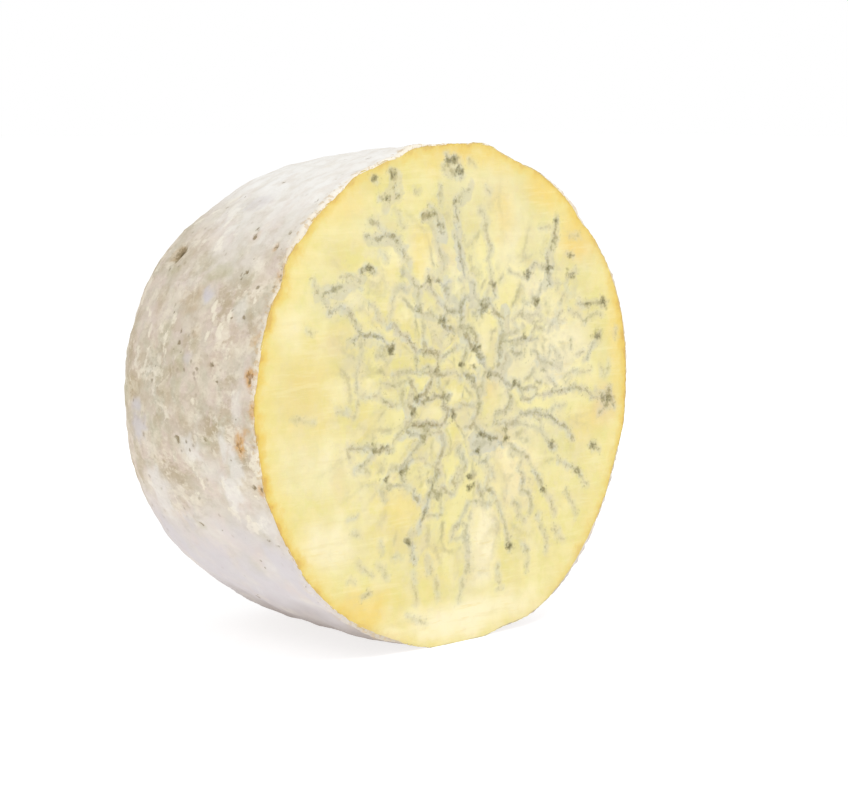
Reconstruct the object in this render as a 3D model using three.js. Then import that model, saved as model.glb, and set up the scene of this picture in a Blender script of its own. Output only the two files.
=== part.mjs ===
// Half of a drum of blue cheese, cut crosswise and laid on its rind side.
// Units are millimetres and +Z is up. The drum's axis runs along Y, its round cut face looks to -Y
// and its rounded, uncut end to +Y. The origin is the middle of the underside, which is a level patch.

import * as THREE from "three";
import { mergeVertices } from "three/addons/utils/BufferGeometryUtils.js";

// Driving dimensions
const RADIUS = 100; // of the round cut face
const DEPTH = 104; // from the cut face to the far end, half of a whole drum's height
const TAPER = 4.3; // how much narrower the drum gets towards its far end, in radius
const SHOULDER_DEPTH = 58; // the far end's rounding, along the axis
const SHOULDER_INSET = 19.5; // the same rounding, across the axis
const RIM_ROUND = 0.8; // the small radius where the knife left the rind
const END_DISH = 1.5; // how far the middle of the uncut end has sunk
const PATCH_DEPTH = 2.3; // how much of the round underside has settled flat

// The outline isn't a true circle: waves round it, each [waves in a turn, cosine mm, sine mm]
const OUTLINE_WAVES = [
  [2, 1.0, -1.5],
  [3, -0.5, 0.4],
  [4, -0.2, 0.3],
  [5, 0.2, 0.3],
  [6, 0.2, 0.3],
];

// Handmade unevenness, as waves in many directions from LONG down to SHORT
const SWELL_COUNT = 10;
const SWELL_LONG = 95;
const SWELL_SHORT = 24;
const RIND_SWELL = 0.3; // height of the longest wave on the rind
const CUT_SWELL = 0.07; // height of the longest wave on the cut face

// Mesh fineness
const SEGMENTS = 104;
const CUT_ROWS = 7;
const RIM_ROWS = 2;
const SIDE_ROWS = 8;
const SHOULDER_ROWS = 10;
const END_ROWS = 5;

const CUT_Y = -DEPTH / 2;
const FAR_Y = DEPTH / 2;
const SHOULDER_Y = FAR_Y - SHOULDER_DEPTH;
const GOLDEN_ANGLE = Math.PI * (3 - Math.sqrt(5));

const cheeseMaterial = new THREE.MeshStandardMaterial({
  name: "cheese",
  color: 0xe8dcb4,
  roughness: 0.75,
  metalness: 0,
});

// How far the taper has pulled the side in at a distance along the axis.
function taperAt(y) {
  return (TAPER * (y - CUT_Y)) / DEPTH;
}

// The side's radius, including the rounding of the far end.
function sideRadius(y) {
  const along = Math.max(0, (y - SHOULDER_Y) / SHOULDER_DEPTH);
  const rounding = SHOULDER_INSET * (1 - Math.sqrt(Math.max(0, 1 - along * along)));
  return RADIUS - taperAt(y) - rounding;
}

// The profile from the middle of the cut face, round the rim and along the side, to the middle of
// the far end. A row holds its radius, its place along the axis and how far its unevenness moves it
// away from the axis and along it.
function profileRows() {
  const rows = [];
  const add = (radius, y, outward, endward) => rows.push({ radius, y, outward, endward });

  for (let i = 0; i <= CUT_ROWS; i++) {
    add((i / CUT_ROWS) * (RADIUS - RIM_ROUND), CUT_Y, 0, -CUT_SWELL);
  }
  for (let i = 1; i <= RIM_ROWS; i++) {
    const turn = (i / RIM_ROWS) * (Math.PI / 2);
    const inward = RIM_ROUND * (1 - Math.sin(turn));
    const back = RIM_ROUND * (1 - Math.cos(turn));
    add(RADIUS - inward, CUT_Y + back, RIND_SWELL * Math.sin(turn), -CUT_SWELL * Math.cos(turn));
  }
  const sideStart = CUT_Y + RIM_ROUND;
  for (let i = 1; i <= SIDE_ROWS; i++) {
    const y = sideStart + (i / SIDE_ROWS) * (SHOULDER_Y - sideStart);
    add(sideRadius(y), y, RIND_SWELL, 0);
  }
  for (let i = 1; i <= SHOULDER_ROWS; i++) {
    const turn = (i / SHOULDER_ROWS) * (Math.PI / 2);
    const y = SHOULDER_Y + SHOULDER_DEPTH * Math.sin(turn);
    add(sideRadius(y), y, RIND_SWELL * Math.cos(turn), RIND_SWELL * Math.sin(turn));
  }
  const endRadius = sideRadius(FAR_Y);
  for (let i = 1; i <= END_ROWS; i++) {
    const share = 1 - i / END_ROWS;
    const sunk = END_DISH * (1 - share * share) ** 2;
    add(share * endRadius, FAR_Y - sunk, 0, RIND_SWELL);
  }
  return rows;
}

// A smooth unevenness with no pattern to it, between about -4 and 4.
function swell(x, y, z) {
  let sum = 0;
  for (let i = 0; i < SWELL_COUNT; i++) {
    const share = (i + 0.5) / SWELL_COUNT;
    const wavelength = SWELL_LONG * (SWELL_SHORT / SWELL_LONG) ** share;
    const dirY = 1 - 2 * share;
    const level = Math.sqrt(1 - dirY * dirY);
    const turn = i * GOLDEN_ANGLE;
    const way = x * level * Math.cos(turn) + y * dirY + z * level * Math.sin(turn);
    const wave = Math.sin((2 * Math.PI * way) / wavelength + 2 * turn);
    sum += (wavelength * wave) / SWELL_LONG;
  }
  return sum;
}

// The share by which the outline is wider or narrower than a circle, at an angle round the axis.
function outlineShare(angle) {
  let extra = 0;
  for (const [count, cosine, sine] of OUTLINE_WAVES) {
    extra += cosine * Math.cos(count * angle) + sine * Math.sin(count * angle);
  }
  return 1 + extra / RADIUS;
}

// Turns a point of the true drum into the cheese's own uneven surface, underside settled level.
function shapeVertex(point, row) {
  const angle = Math.atan2(point.z, point.x);
  const wide = outlineShare(angle);
  const bump = swell(point.x, point.y, point.z);
  const spread = row.outward * bump;
  point.x = point.x * wide + spread * Math.cos(angle);
  point.z = point.z * wide + spread * Math.sin(angle) - taperAt(point.y);
  point.y += row.endward * bump;
}

function cheeseGeometry() {
  const rows = profileRows();
  const outline = rows.map((row) => new THREE.Vector2(row.radius, row.y));
  const lathe = new THREE.LatheGeometry(outline, SEGMENTS);
  lathe.deleteAttribute("normal");
  lathe.deleteAttribute("uv");

  const positions = lathe.getAttribute("position");
  const point = new THREE.Vector3();
  for (let i = 0; i < positions.count; i++) {
    shapeVertex(point.fromBufferAttribute(positions, i), rows[i % rows.length]);
    positions.setXYZ(i, point.x, point.y, point.z);
  }

  lathe.computeBoundingBox();
  const { min, max } = lathe.boundingBox;
  const middle = new THREE.Vector2((min.x + max.x) / 2, (min.y + max.y) / 2);
  const rest = min.z + PATCH_DEPTH;
  for (let i = 0; i < positions.count; i++) {
    const height = Math.max(0, positions.getZ(i) - rest);
    positions.setXYZ(i, positions.getX(i) - middle.x, positions.getY(i) - middle.y, height);
  }
  return mergeVertices(lathe);
}

const cheese = new THREE.Mesh(cheeseGeometry(), cheeseMaterial);
cheese.name = "cheese";

const part = new THREE.Group();
part.add(cheese);

export default part;
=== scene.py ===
"""Half of a drum of blue cheese, cut crosswise and lying on its rind side.

Two closed pieces stand for the one solid of the frame. The paste has the round cut face with its
veins, and the rind is a thin shell round it. Both follow the frame's own form at a finer scale.
Lengths are millimetres in the drum's own frame, whose axis is Y, until a mesh is written in metres.
"""

import math

import bpy
import numpy as np
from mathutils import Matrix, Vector, kdtree, noise


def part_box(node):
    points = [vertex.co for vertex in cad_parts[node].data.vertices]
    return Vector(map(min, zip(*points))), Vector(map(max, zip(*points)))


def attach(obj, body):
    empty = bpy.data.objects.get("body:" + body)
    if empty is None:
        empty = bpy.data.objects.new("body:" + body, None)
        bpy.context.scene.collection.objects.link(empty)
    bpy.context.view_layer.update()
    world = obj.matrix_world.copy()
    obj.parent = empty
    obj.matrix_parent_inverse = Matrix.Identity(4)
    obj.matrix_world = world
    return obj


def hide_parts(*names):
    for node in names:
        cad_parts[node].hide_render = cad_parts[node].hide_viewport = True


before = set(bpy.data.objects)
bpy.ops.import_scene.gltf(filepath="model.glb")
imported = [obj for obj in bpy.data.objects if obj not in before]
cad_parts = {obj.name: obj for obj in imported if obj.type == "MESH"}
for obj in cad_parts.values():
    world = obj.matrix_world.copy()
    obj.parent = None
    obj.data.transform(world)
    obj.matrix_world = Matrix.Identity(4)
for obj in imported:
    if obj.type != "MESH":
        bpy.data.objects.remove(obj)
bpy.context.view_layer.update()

MM = 0.001

# The drum's driving sizes, the same as the frame's
RADIUS = 100.0
DEPTH = 104.0
TAPER = 4.3
SHOULDER_DEPTH = 58.0
SHOULDER_INSET = 19.5
END_DISH = 1.5
PATCH_DEPTH = 2.3
OUTLINE_WAVES = ((2, 1.0, -1.5), (3, -0.5, 0.4), (4, -0.2, 0.3), (5, 0.2, 0.3), (6, 0.2, 0.3))
SWELL_COUNT = 10
SWELL_LONG = 95.0
SWELL_SHORT = 24.0
RIND_SWELL = 0.3
CUT_SWELL = 0.07

CUT_Y = -DEPTH / 2
FAR_Y = DEPTH / 2
SHOULDER_Y = FAR_Y - SHOULDER_DEPTH
GOLDEN_ANGLE = math.pi * (3 - math.sqrt(5))

# The rind's own sizes. Its lip is the narrow face beside the cut, which lies a little behind the cut
RIM_ROUND = 0.6
RIND_EDGE = 0.3
RIND_THICKNESS = 3.8
LIP_INSETS = (2.0, 1.5, 1.1)
LIP_BACK = 0.25
LIP_ROOT_BACK = 0.6
INSIDE_BACK = 1.5
PASTE_DEPTH = 2.8
PIT_LIMIT = 1.9

# Where the edge of the cut leaves the smooth outline: degrees, millimetres outward, half width
RIM_DENTS = (
    (350, 0.8, 5), (24, 0.7, 12), (42, -0.9, 3.5), (70, -1.3, 6), (81, 0.9, 4), (103, 0.7, 4),
    (108, -0.8, 2.5), (120, 0.9, 3), (135, 0.7, 3), (145, 1.2, 4), (151, -1.0, 2.5), (178, 0.8, 4),
    (196, 0.7, 3), (221, 0.8, 8), (248, -0.9, 8), (268, 0.8, 5), (285, -1.6, 6),
)
RIM_DENT_DEPTH = 16.0

# Fineness of the meshes: rings from the axis to the rim, each with six points more than the last,
# millimetres from ring to ring along the side, and rings round the edge of the rim
PASTE_RINGS = 158
RIND_RINGS = 94
SIDE_STEP = 1.12
RIM_STEPS = 5

# The coarser rows of what is hidden: the rind's inside, and the paste's shoulder by shares of its depth
INSIDE_RINGS = 9
HIDDEN_SHARES = (0.4, 0.7, 0.87, 0.96, 1.0)

# The reach of the relief, of the cut face and then of the rind
UNDULATION = 0.12
GRAIN = 0.05
FISSURE = 0.24
CRUMBLE = 0.08
KNOT_HOLLOW = 0.15
TORN_EDGE = 0.35
LUMPS = 0.8
WRINKLES = 0.34
CRUST = 0.32
FLAKES = 0.35
RAGGED_RIM = 0.5
LIP_GRAIN = 0.12
LIP_WIDTH = 2.4

# The depth of the bump that stands for still finer grain
PASTE_BUMP = 0.35
RIND_BUMP = 0.75

# How far the crust's pattern is drawn out, along the drum's axis
ALONG_THE_DRUM = (1.0, 1.5, 1.0)

# The blue veins of the cut face, as seen square on: how dark, how wide, and the points they pass,
# across to the right and up from the middle of the face
VEINS = (
    # The upper left
    (0.85, 2.2, (-34, 88), (-32, 86), (-32.5, 82), (-31, 79)),
    (0.85, 1.6, (-40, 79), (-36, 78), (-31, 78)),
    (0.6, 1.3, (-43, 86), (-41, 85)),
    (0.35, 1.2, (-33, 74), (-30, 72), (-28.5, 68)),
    (0.75, 2.4, (-46, 64), (-41, 63), (-38, 64)),
    (0.75, 4.0, (-38, 64.5), (-34, 64), (-30.5, 62)),
    (0.65, 1.8, (-31, 62), (-29.5, 59), (-27.5, 56)),
    (0.4, 0.8, (-40, 58), (-36, 55.5)),
    (0.8, 1.1, (-49, 51.5), (-46, 52.3), (-42, 51)),
    (0.6, 1.3, (-73, 49), (-71, 45), (-69, 42), (-66.5, 40), (-65.5, 36.5)),
    (0.7, 3.2, (-68, 43.5), (-64, 45.5), (-59, 46)),
    (0.45, 1.2, (-60, 50), (-54, 50), (-49.5, 48)),
    (0.5, 1.1, (-57, 48), (-53, 46), (-49, 44.5)),
    (0.7, 1.2, (-66, 37), (-61, 38.5), (-56.5, 38), (-53, 34), (-51, 30), (-49, 27)),
    (0.75, 1.2, (-54, 25.5), (-49, 27), (-44, 26.5), (-39, 26), (-37, 23.5), (-34, 21)),
    (0.7, 2.0, (-36, 22), (-34, 21), (-32, 22.5)),
    (0.5, 0.9, (-41.5, 19.5), (-39, 18.5), (-37, 17)),
    (0.75, 1.1, (-36, 30.8), (-32, 30.5), (-30, 28), (-26, 25), (-22, 21), (-21, 19.5)),
    (0.6, 1.1, (-31, 44.5), (-28.5, 44.8), (-26, 43.5)),
    (0.35, 0.9, (-76, 31), (-73, 30)),
    (0.4, 2.6, (-45, 39), (-42, 37), (-41, 33)),
    (0.3, 1.3, (-31, 45), (-33, 40), (-34, 36)),
    (0.3, 2.2, (-34, -24), (-30, -24)),
    (0.5, 2.4, (-45, 70), (-42, 69), (-39.5, 66)),
    (0.4, 2.2, (-28, 58), (-26, 55), (-24, 52.5)),
    (0.4, 1.4, (-39.7, 22), (-38, 21.5)),
    (0.35, 1.8, (-50, 24), (-48, 21)),
    (0.4, 1.4, (-51.5, 13), (-50.5, 7)),
    (0.4, 1.6, (-58.5, 50.5), (-55, 49)),
    # The top
    (0.9, 1.7, (-5, 94), (-3.5, 91.5), (-1, 92.3), (1.5, 91.5)),
    (0.8, 1.6, (1, 91), (1.5, 88), (3, 86)),
    (0.5, 4.2, (-5, 88.5), (-2, 87.5), (0.5, 88)),
    (0.35, 1.2, (7, 91), (10, 89.5)),
    (0.5, 2.2, (2, 77), (5, 79), (8, 80)),
    (0.75, 1.5, (-0.5, 76.5), (1, 73), (1.5, 68), (1.2, 63), (2, 58), (3, 53), (5, 49), (5.5, 46.5)),
    (0.75, 3.6, (-17, 70.5), (-14, 71.5), (-11, 71.5)),
    (0.7, 1.4, (-14, 74.5), (-11.5, 73), (-9.5, 70), (-8, 67), (-6.5, 64.5)),
    (0.45, 1.8, (-8.5, 82), (-8, 78), (-8, 75)),
    (0.35, 3.4, (-9, 58), (-6, 54), (-7, 50)),
    (0.4, 2.2, (14, 72), (17, 69), (16, 65), (18, 61), (19.5, 57), (18, 52.5)),
    (0.4, 1.0, (17.5, 80), (19.5, 79.5)),
    (0.5, 1.2, (-21.5, 81), (-20, 80)),
    (0.4, 1.2, (-10.5, 61), (-9, 60)),
    (0.35, 1.6, (-28, 68), (-27, 67)),
    (0.5, 1.4, (30, 48), (31.5, 47)),
    (0.45, 1.2, (2, 46), (3.5, 45.5)),
    # The fine web of the middle, above
    (0.5, 1.3, (-24, 49), (-21.5, 45.5), (-20, 43.5), (-16, 45), (-14, 49)),
    (0.45, 1.5, (-20, 41), (-19, 37), (-18.5, 34), (-14, 33.5), (-11, 32)),
    (0.6, 1.3, (-14.5, 44), (-12.5, 41.5), (-9, 38), (-6.5, 36.3), (-4.5, 34.5), (0, 34), (4, 33.2)),
    (0.7, 1.2, (-11, 46), (-8, 45.5), (-6.5, 44), (-4, 45)),
    (0.4, 3.4, (-5, 42), (-4, 38)),
    (0.6, 1.6, (9, 38), (5.5, 38.5), (4, 35.5), (3.7, 31), (3.5, 27)),
    (0.75, 1.3, (-6, 31.5), (-7, 29), (-5, 27.2), (-2, 26.5), (0, 25.5)),
    (0.5, 1.7, (-17, 29), (-16.3, 25), (-17, 20.5)),
    (0.7, 1.2, (-21, 20), (-15, 19.5), (-9.5, 18.8)),
    (0.5, 1.2, (-21, 20), (-21.3, 15), (-20.5, 12)),
    (0.65, 1.3, (-9.5, 18.8), (-9, 14), (-9.5, 10)),
    (0.5, 1.0, (-33, 12), (-26, 12.2), (-20, 11.8), (-14, 10.8), (-10, 9.6)),
    (0.65, 1.3, (-17, 12.8), (-14, 13.8), (-11.5, 12), (-10.3, 10.3)),
    (0.45, 1.2, (-38, 8.5), (-33, 8.2), (-27, 8.3)),
    (0.4, 1.0, (-8.5, 9), (-8, 5), (-6.5, 2)),
    (0.35, 1.8, (-28.5, 6), (-28.5, 0)),
    (0.4, 1.4, (18, 9.5), (15.5, 7.5), (15, 4), (16, 1)),
    (0.5, 1.6, (-31, -12), (-27.5, -10.5), (-26, -9)),
    (0.3, 1.8, (-17, -22), (-15.5, -24)),
    (0.45, 1.0, (-15, -13), (-11, -12.5), (-8.5, -13.5)),
    (0.6, 1.8, (-25.5, 9.8), (-23.5, 8), (-22, 6)),
    (0.65, 1.4, (-12.5, 9.5), (-14, 6), (-17, 3.5), (-20, 2), (-22.5, 0)),
    (0.6, 1.1, (-39, 2), (-36, 1), (-34, 0.5)),
    (0.4, 1.0, (-50, 4.3), (-46, 4.2), (-41, 4)),
    (0.4, 1.6, (-61, 0.5), (-57, 0), (-53.5, -2.3)),
    (0.25, 1.4, (-82, -1), (-78, -2), (-74, -3)),
    (0.7, 1.7, (4, 27), (6.5, 24), (7.5, 21), (9, 19.5), (11.5, 18.5)),
    (0.6, 1.7, (5.5, 26.5), (8.5, 26), (11, 23.5), (11.8, 20.5)),
    (0.75, 1.3, (11.5, 18.5), (13.5, 16), (15.5, 13), (17.5, 10), (19.5, 7.3)),
    (0.5, 1.1, (1, 19.8), (-2, 17.8), (-6.5, 16.5)),
    (0.5, 1.5, (6, 19.5), (5, 15.5), (3.2, 13)),
    (0.55, 1.1, (-8, 9.8), (-3, 10), (0, 9), (2.5, 7)),
    (0.75, 1.1, (3, 9), (6, 8.5), (9.5, 7), (10.5, 4.5)),
    (0.6, 2.4, (10.5, 32), (13.5, 33.3), (16.5, 33.8), (18.5, 36)),
    (0.5, 1.5, (11, 44), (10.5, 39), (13, 36), (17, 37.5), (19, 36.5)),
    (0.6, 1.5, (18.5, 35.5), (22, 32.2), (25, 30.5), (27, 29)),
    (0.6, 1.2, (20.5, 44), (21.5, 41), (22.5, 38.5)),
    (0.6, 2.2, (25, 30), (25.5, 26), (26, 21), (25, 16), (24, 11)),
    (0.6, 1.6, (19.5, 8), (23, 8), (26, 6), (28.5, 4), (32, 2.3), (36, 2.7)),
    # The right
    (0.5, 1.5, (26, 23), (30, 23.2), (34, 24.5)),
    (0.65, 1.2, (26, 20), (32, 19.8), (38, 20.5), (46, 20)),
    (0.5, 1.6, (27, 10.5), (29.5, 14.5), (33.5, 18), (38, 19.5)),
    (0.55, 1.7, (31, 15), (34, 14.3), (37.5, 15)),
    (0.5, 1.2, (32, 29), (36, 30.5), (40, 29.5), (45, 29.5), (49, 28)),
    (0.45, 1.2, (43, 22.5), (46, 25), (50, 27)),
    (0.55, 2.2, (52, 22.5), (54.5, 25), (58, 28), (60.5, 30)),
    (0.45, 1.2, (57, 26.5), (62, 26)),
    (0.8, 2.4, (57, 67.5), (56.5, 64), (57, 60), (54.5, 56), (52, 53)),
    (0.9, 2.2, (52, 53), (52, 48), (52.5, 45), (54, 42)),
    (0.45, 1.1, (48, 64), (50.5, 63.6), (54, 64.5)),
    (0.7, 1.5, (40, 45), (42, 47), (45, 50)),
    (0.45, 1.3, (45, 50), (48.5, 48), (52, 49.5)),
    (0.5, 1.2, (48, 41), (47.5, 37.5), (44, 36), (46, 33.5), (48, 31)),
    (0.7, 1.8, (64, 43.5), (66, 45), (68, 46)),
    (0.45, 1.3, (64, 53.2), (66.5, 52.6)),
    (0.4, 1.2, (62, 41), (64, 37), (63.5, 34)),
    (0.6, 1.1, (70, 33), (76, 32), (82, 32.3), (87, 32.2)),
    (0.5, 1.3, (65, 30), (70, 28.5), (73.5, 26), (80, 28), (84, 27.5)),
    (0.65, 1.9, (83, 18.8), (80, 16), (77.5, 13), (75, 10)),
    (0.5, 1.2, (70, 12), (73.5, 13)),
    (0.4, 1.3, (93, 20.5), (94, 18)),
    (0.4, 1.5, (63, 3.5), (68, 5), (74, 4), (78, 5)),
    (0.6, 1.3, (44, 15), (45.5, 13), (47, 10.5), (52, 10), (56, 8.5), (60, 7.5)),
    (0.55, 1.3, (46, 3), (48, 2)),
    (0.6, 1.4, (53, 4), (56, 2), (58, 0)),
    (0.6, 1.2, (36, 1), (40, 0.5), (44, 1), (46, 0)),
    (0.5, 1.3, (30, 18), (34, 19), (38, 18)),
    (0.6, 1.2, (49, 7), (52, 7)),
    (0.5, 1.3, (36, 31), (38, 31), (40, 29), (44, 27)),
    (0.5, 1.2, (45, 27), (47, 24), (50, 23)),
    (0.5, 1.3, (57, 42), (59, 41), (58, 39.5)),
    (0.4, 2.6, (38, 35.5), (41.5, 35)),
    (0.6, 1.3, (44, 37), (47, 35), (45, 34), (47.5, 32)),
    (0.4, 2.4, (60, 33), (62, 36.5)),
    (0.45, 1.4, (57, 29.5), (59, 28.5)),
    (0.35, 1.8, (66, 60), (71, 60.5)),
    (0.4, 1.4, (66, 18), (66, 14)),
    (0.4, 1.3, (64, 1), (66, 3)),
    (0.35, 1.3, (54, 16), (57, 14.5), (59, 11)),
    (0.3, 1.2, (31, -13.5), (37, -13.5), (43, -15.5), (49, -17.5)),
    (0.4, 1.2, (45, -12), (48, -13)),
    (0.4, 1.6, (30, -13), (35, -13)),
    (0.3, 1.2, (31, -25), (33, -26)),
    (0.35, 1.2, (84, 5), (88, 2), (90, 7)),
    (0.75, 1.2, (50, -3), (57, -2.2), (63, -2), (69, -1.7), (75, -3.5), (80, -6), (85, -7)),
    (0.7, 1.6, (82, -4), (86, -7), (90, -6), (92.5, -10.5)),
    (0.7, 1.5, (83, -13), (87, -11), (89, -8), (89.5, -3)),
    (0.55, 1.3, (36, 1), (38, -3.5), (42, -4), (45.5, -2.5)),
    (0.55, 1.4, (22, -8.5), (26, -8), (30, -6), (31.3, -3), (29.5, 0.5)),
    (0.7, 1.5, (36, -9.3), (43, -10), (50, -10.7), (54, -12), (58, -15), (63.5, -18.5), (68, -22)),
    (0.4, 1.2, (57, -8), (62, -8.2)),
    (0.5, 1.1, (22, -12), (26.5, -11.8)),
    (0.55, 1.7, (53, -22), (55, -24), (57.5, -24.5)),
    # The middle, below
    (0.75, 1.2, (-22, 0), (-18, -0.3), (-15, 0.2), (-11, 2), (-8.5, 1), (-6, 0.8), (-3.5, 0)),
    (0.75, 1.3, (-6.3, 0.5), (-6.3, -3), (-4, -4.5), (-2, -5.3), (-1.2, -7.5)),
    (0.4, 1.0, (-2, -5.2), (4, -4), (9, -4), (13, -5)),
    (0.5, 1.5, (10.5, 4.5), (13, 2.5), (13.5, -1), (13, -4.5), (11.3, -8), (9, -11), (6.5, -12)),
    (0.6, 2.4, (-24, -1), (-22.8, -4), (-24, -7), (-25.8, -9)),
    (0.8, 1.7, (-23, -8.5), (-19, -9.2), (-14, -9.2), (-9, -10), (-6, -9.3), (-5, -6.5), (-4.3, -4.5)),
    (0.7, 1.5, (-26, -9.5), (-24, -12), (-21, -12.3), (-18, -14), (-16, -12.5), (-15, -10)),
    (0.6, 1.4, (-18, -15), (-21, -18), (-24, -20), (-27, -22), (-28.8, -25), (-28.5, -29.5)),
    (0.7, 1.1, (-22.5, -22), (-25, -22.5), (-27.5, -26)),
    (0.55, 1.7, (-9, -12), (-7, -15), (-6, -18), (-8, -22), (-10, -26), (-9, -29), (-11.5, -32)),
    (0.75, 1.5, (-14, -31.5), (-12.5, -33), (-13.3, -36), (-15, -40), (-16.5, -44), (-19, -47.5)),
    (0.5, 1.6, (-19, -47.5), (-20, -50.5), (-24, -51.5)),
    (0.4, 1.2, (-9.5, -45), (-6.5, -45)),
    (0.45, 1.2, (11, -42.5), (13.3, -42.5)),
    (0.5, 1.7, (14, -36), (15, -40), (15.5, -44), (20, -45)),
    (0.45, 2.2, (1.3, -21.3), (3.7, -21.5)),
    (0.6, 1.8, (-13.3, -36), (-10.5, -37.3), (-8, -37.8)),
    (0.55, 1.5, (-7, -35), (-4, -36.7), (-1, -38)),
    (0.5, 1.3, (-37, -28), (-36.5, -31), (-29, -30.6)),
    (0.5, 1.4, (-39.5, -31.5), (-38, -33), (-37, -36.5)),
    (0.6, 1.3, (-56, -14.5), (-50, -15.3), (-46, -14.6), (-43, -16), (-39, -16), (-34, -16.3)),
    (0.3, 3.0, (-57, -14), (-55, -18)),
    (0.55, 1.1, (-43, -17), (-47, -20), (-50, -22), (-52.5, -23.5)),
    (0.3, 1.0, (-49, -22.5), (-46, -25)),
    (0.55, 2.0, (-23, -34), (-22, -37), (-19, -39)),
    (0.15, 3.6, (9.5, -19), (13, -20.2), (18, -18.6)),
    (0.8, 1.4, (13.5, -15), (16, -16.5), (20, -17.7), (23, -18), (26, -20.5)),
    (0.8, 1.4, (10, -22), (13.5, -22.6)),
    (0.5, 1.3, (7, -12), (10, -11.3), (12, -13.5)),
    (0.4, 1.4, (1, -22), (4, -22.7), (6.5, -25.5), (5, -28.7), (1.5, -28.5)),
    (0.4, 1.4, (1, -31), (4, -31.3), (4.3, -34), (0.3, -34.7), (-2, -33), (-0.5, -30.8)),
    (0.5, 1.5, (31, -21), (35, -24), (39, -26), (42, -28)),
    (0.6, 1.9, (14, -26), (17, -27)),
    (0.5, 1.1, (-52, -40.5), (-56, -41.5)),
    # The lower part, where the veins run down to the rim
    (0.35, 1.1, (-54, -47), (-51, -48)),
    (0.65, 1.9, (-27, -53), (-24.5, -54), (-23.5, -57.5), (-21.5, -62)),
    (0.35, 1.3, (-40, -52), (-39, -55.5)),
    (0.35, 1.3, (-41, -61), (-38.5, -62.5), (-37, -66)),
    (0.4, 1.2, (-52, -59), (-48, -62), (-45, -64.5)),
    (0.35, 1.4, (-56, -65), (-53.5, -66.5)),
    (0.65, 1.0, (-50, -72.5), (-47.5, -72), (-45, -71)),
    (0.35, 2.6, (-21.5, -66), (-22, -72), (-21, -78)),
    (0.45, 1.6, (-15.5, -61), (-14, -67)),
    (0.3, 1.6, (-11, -70), (-10, -78)),
    (0.35, 0.9, (-26, -83), (-22, -84.5), (-16.5, -86)),
    (0.5, 1.3, (7, -43), (5, -46), (3, -50), (-1, -53), (-2.3, -56)),
    (0.4, 2.2, (6.5, -52), (7.5, -60), (6.5, -69)),
    (0.3, 1.4, (4.5, -72), (3.5, -77), (2, -80)),
    (0.5, 1.4, (17.5, -38), (20.5, -38.7), (22.5, -41.5), (25, -46), (28, -53), (29.5, -60)),
    (0.35, 1.3, (19, -31), (18.5, -35)),
    (0.35, 2.8, (5, -56), (7, -62), (8, -69)),
    (0.4, 1.5, (-15, -62), (-12.5, -68)),
    (0.35, 1.2, (-33, -59), (-30, -59.5)),
    (0.35, 1.1, (24, -79), (26, -79)),
    (0.6, 1.9, (30, -60), (31.5, -63)),
    (0.5, 1.8, (36.5, -31.5), (38, -35), (38, -38)),
    (0.5, 1.4, (37, -41), (41.5, -42), (43.5, -45), (43.5, -50)),
    (0.4, 1.2, (35, -49), (36, -51.5), (40, -52.5)),
    (0.45, 1.8, (32.5, -45), (35.5, -47)),
    (0.45, 1.3, (20, -30), (22.5, -34)),
    (0.4, 1.2, (13, -35), (14.5, -38.5)),
    # The lower right, carried on as the rest of the pattern leads
    (0.55, 1.4, (44, -33), (48, -37), (50.5, -42), (55, -47), (57, -53)),
    (0.5, 1.3, (47, -52), (49, -57), (52, -62), (52.5, -67)),
    (0.6, 1.3, (60, -30), (66, -34), (71, -36.5), (77, -42)),
    (0.45, 1.6, (64, -44), (68, -49), (70, -54)),
    (0.5, 1.2, (39, -62), (41.5, -68), (41, -74)),
    (0.65, 1.6, (79, -26), (83, -28.5)),
    (0.4, 1.4, (24, -70), (25, -76)),
    (0.45, 1.2, (57, -58), (62, -63)),
)
VEIN_SHARE = 0.48
WOBBLE = 1.1
FINE_WOBBLE = 0.8

# Stand-ins for the distance to a vein: before any is measured, and off the cut face
FAR_FROM_VEINS = 99.0
OFF_THE_CUT = 9.0

# Gaps between the veins' ends that a faint vein closes, and how far from the middle
JOIN_SHORTEST = 0.8
JOIN_LONGEST = 9.0
JOIN_REACH = 58.0
JOIN_STRENGTH = 0.3
JOIN_WIDTH = 0.9

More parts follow.
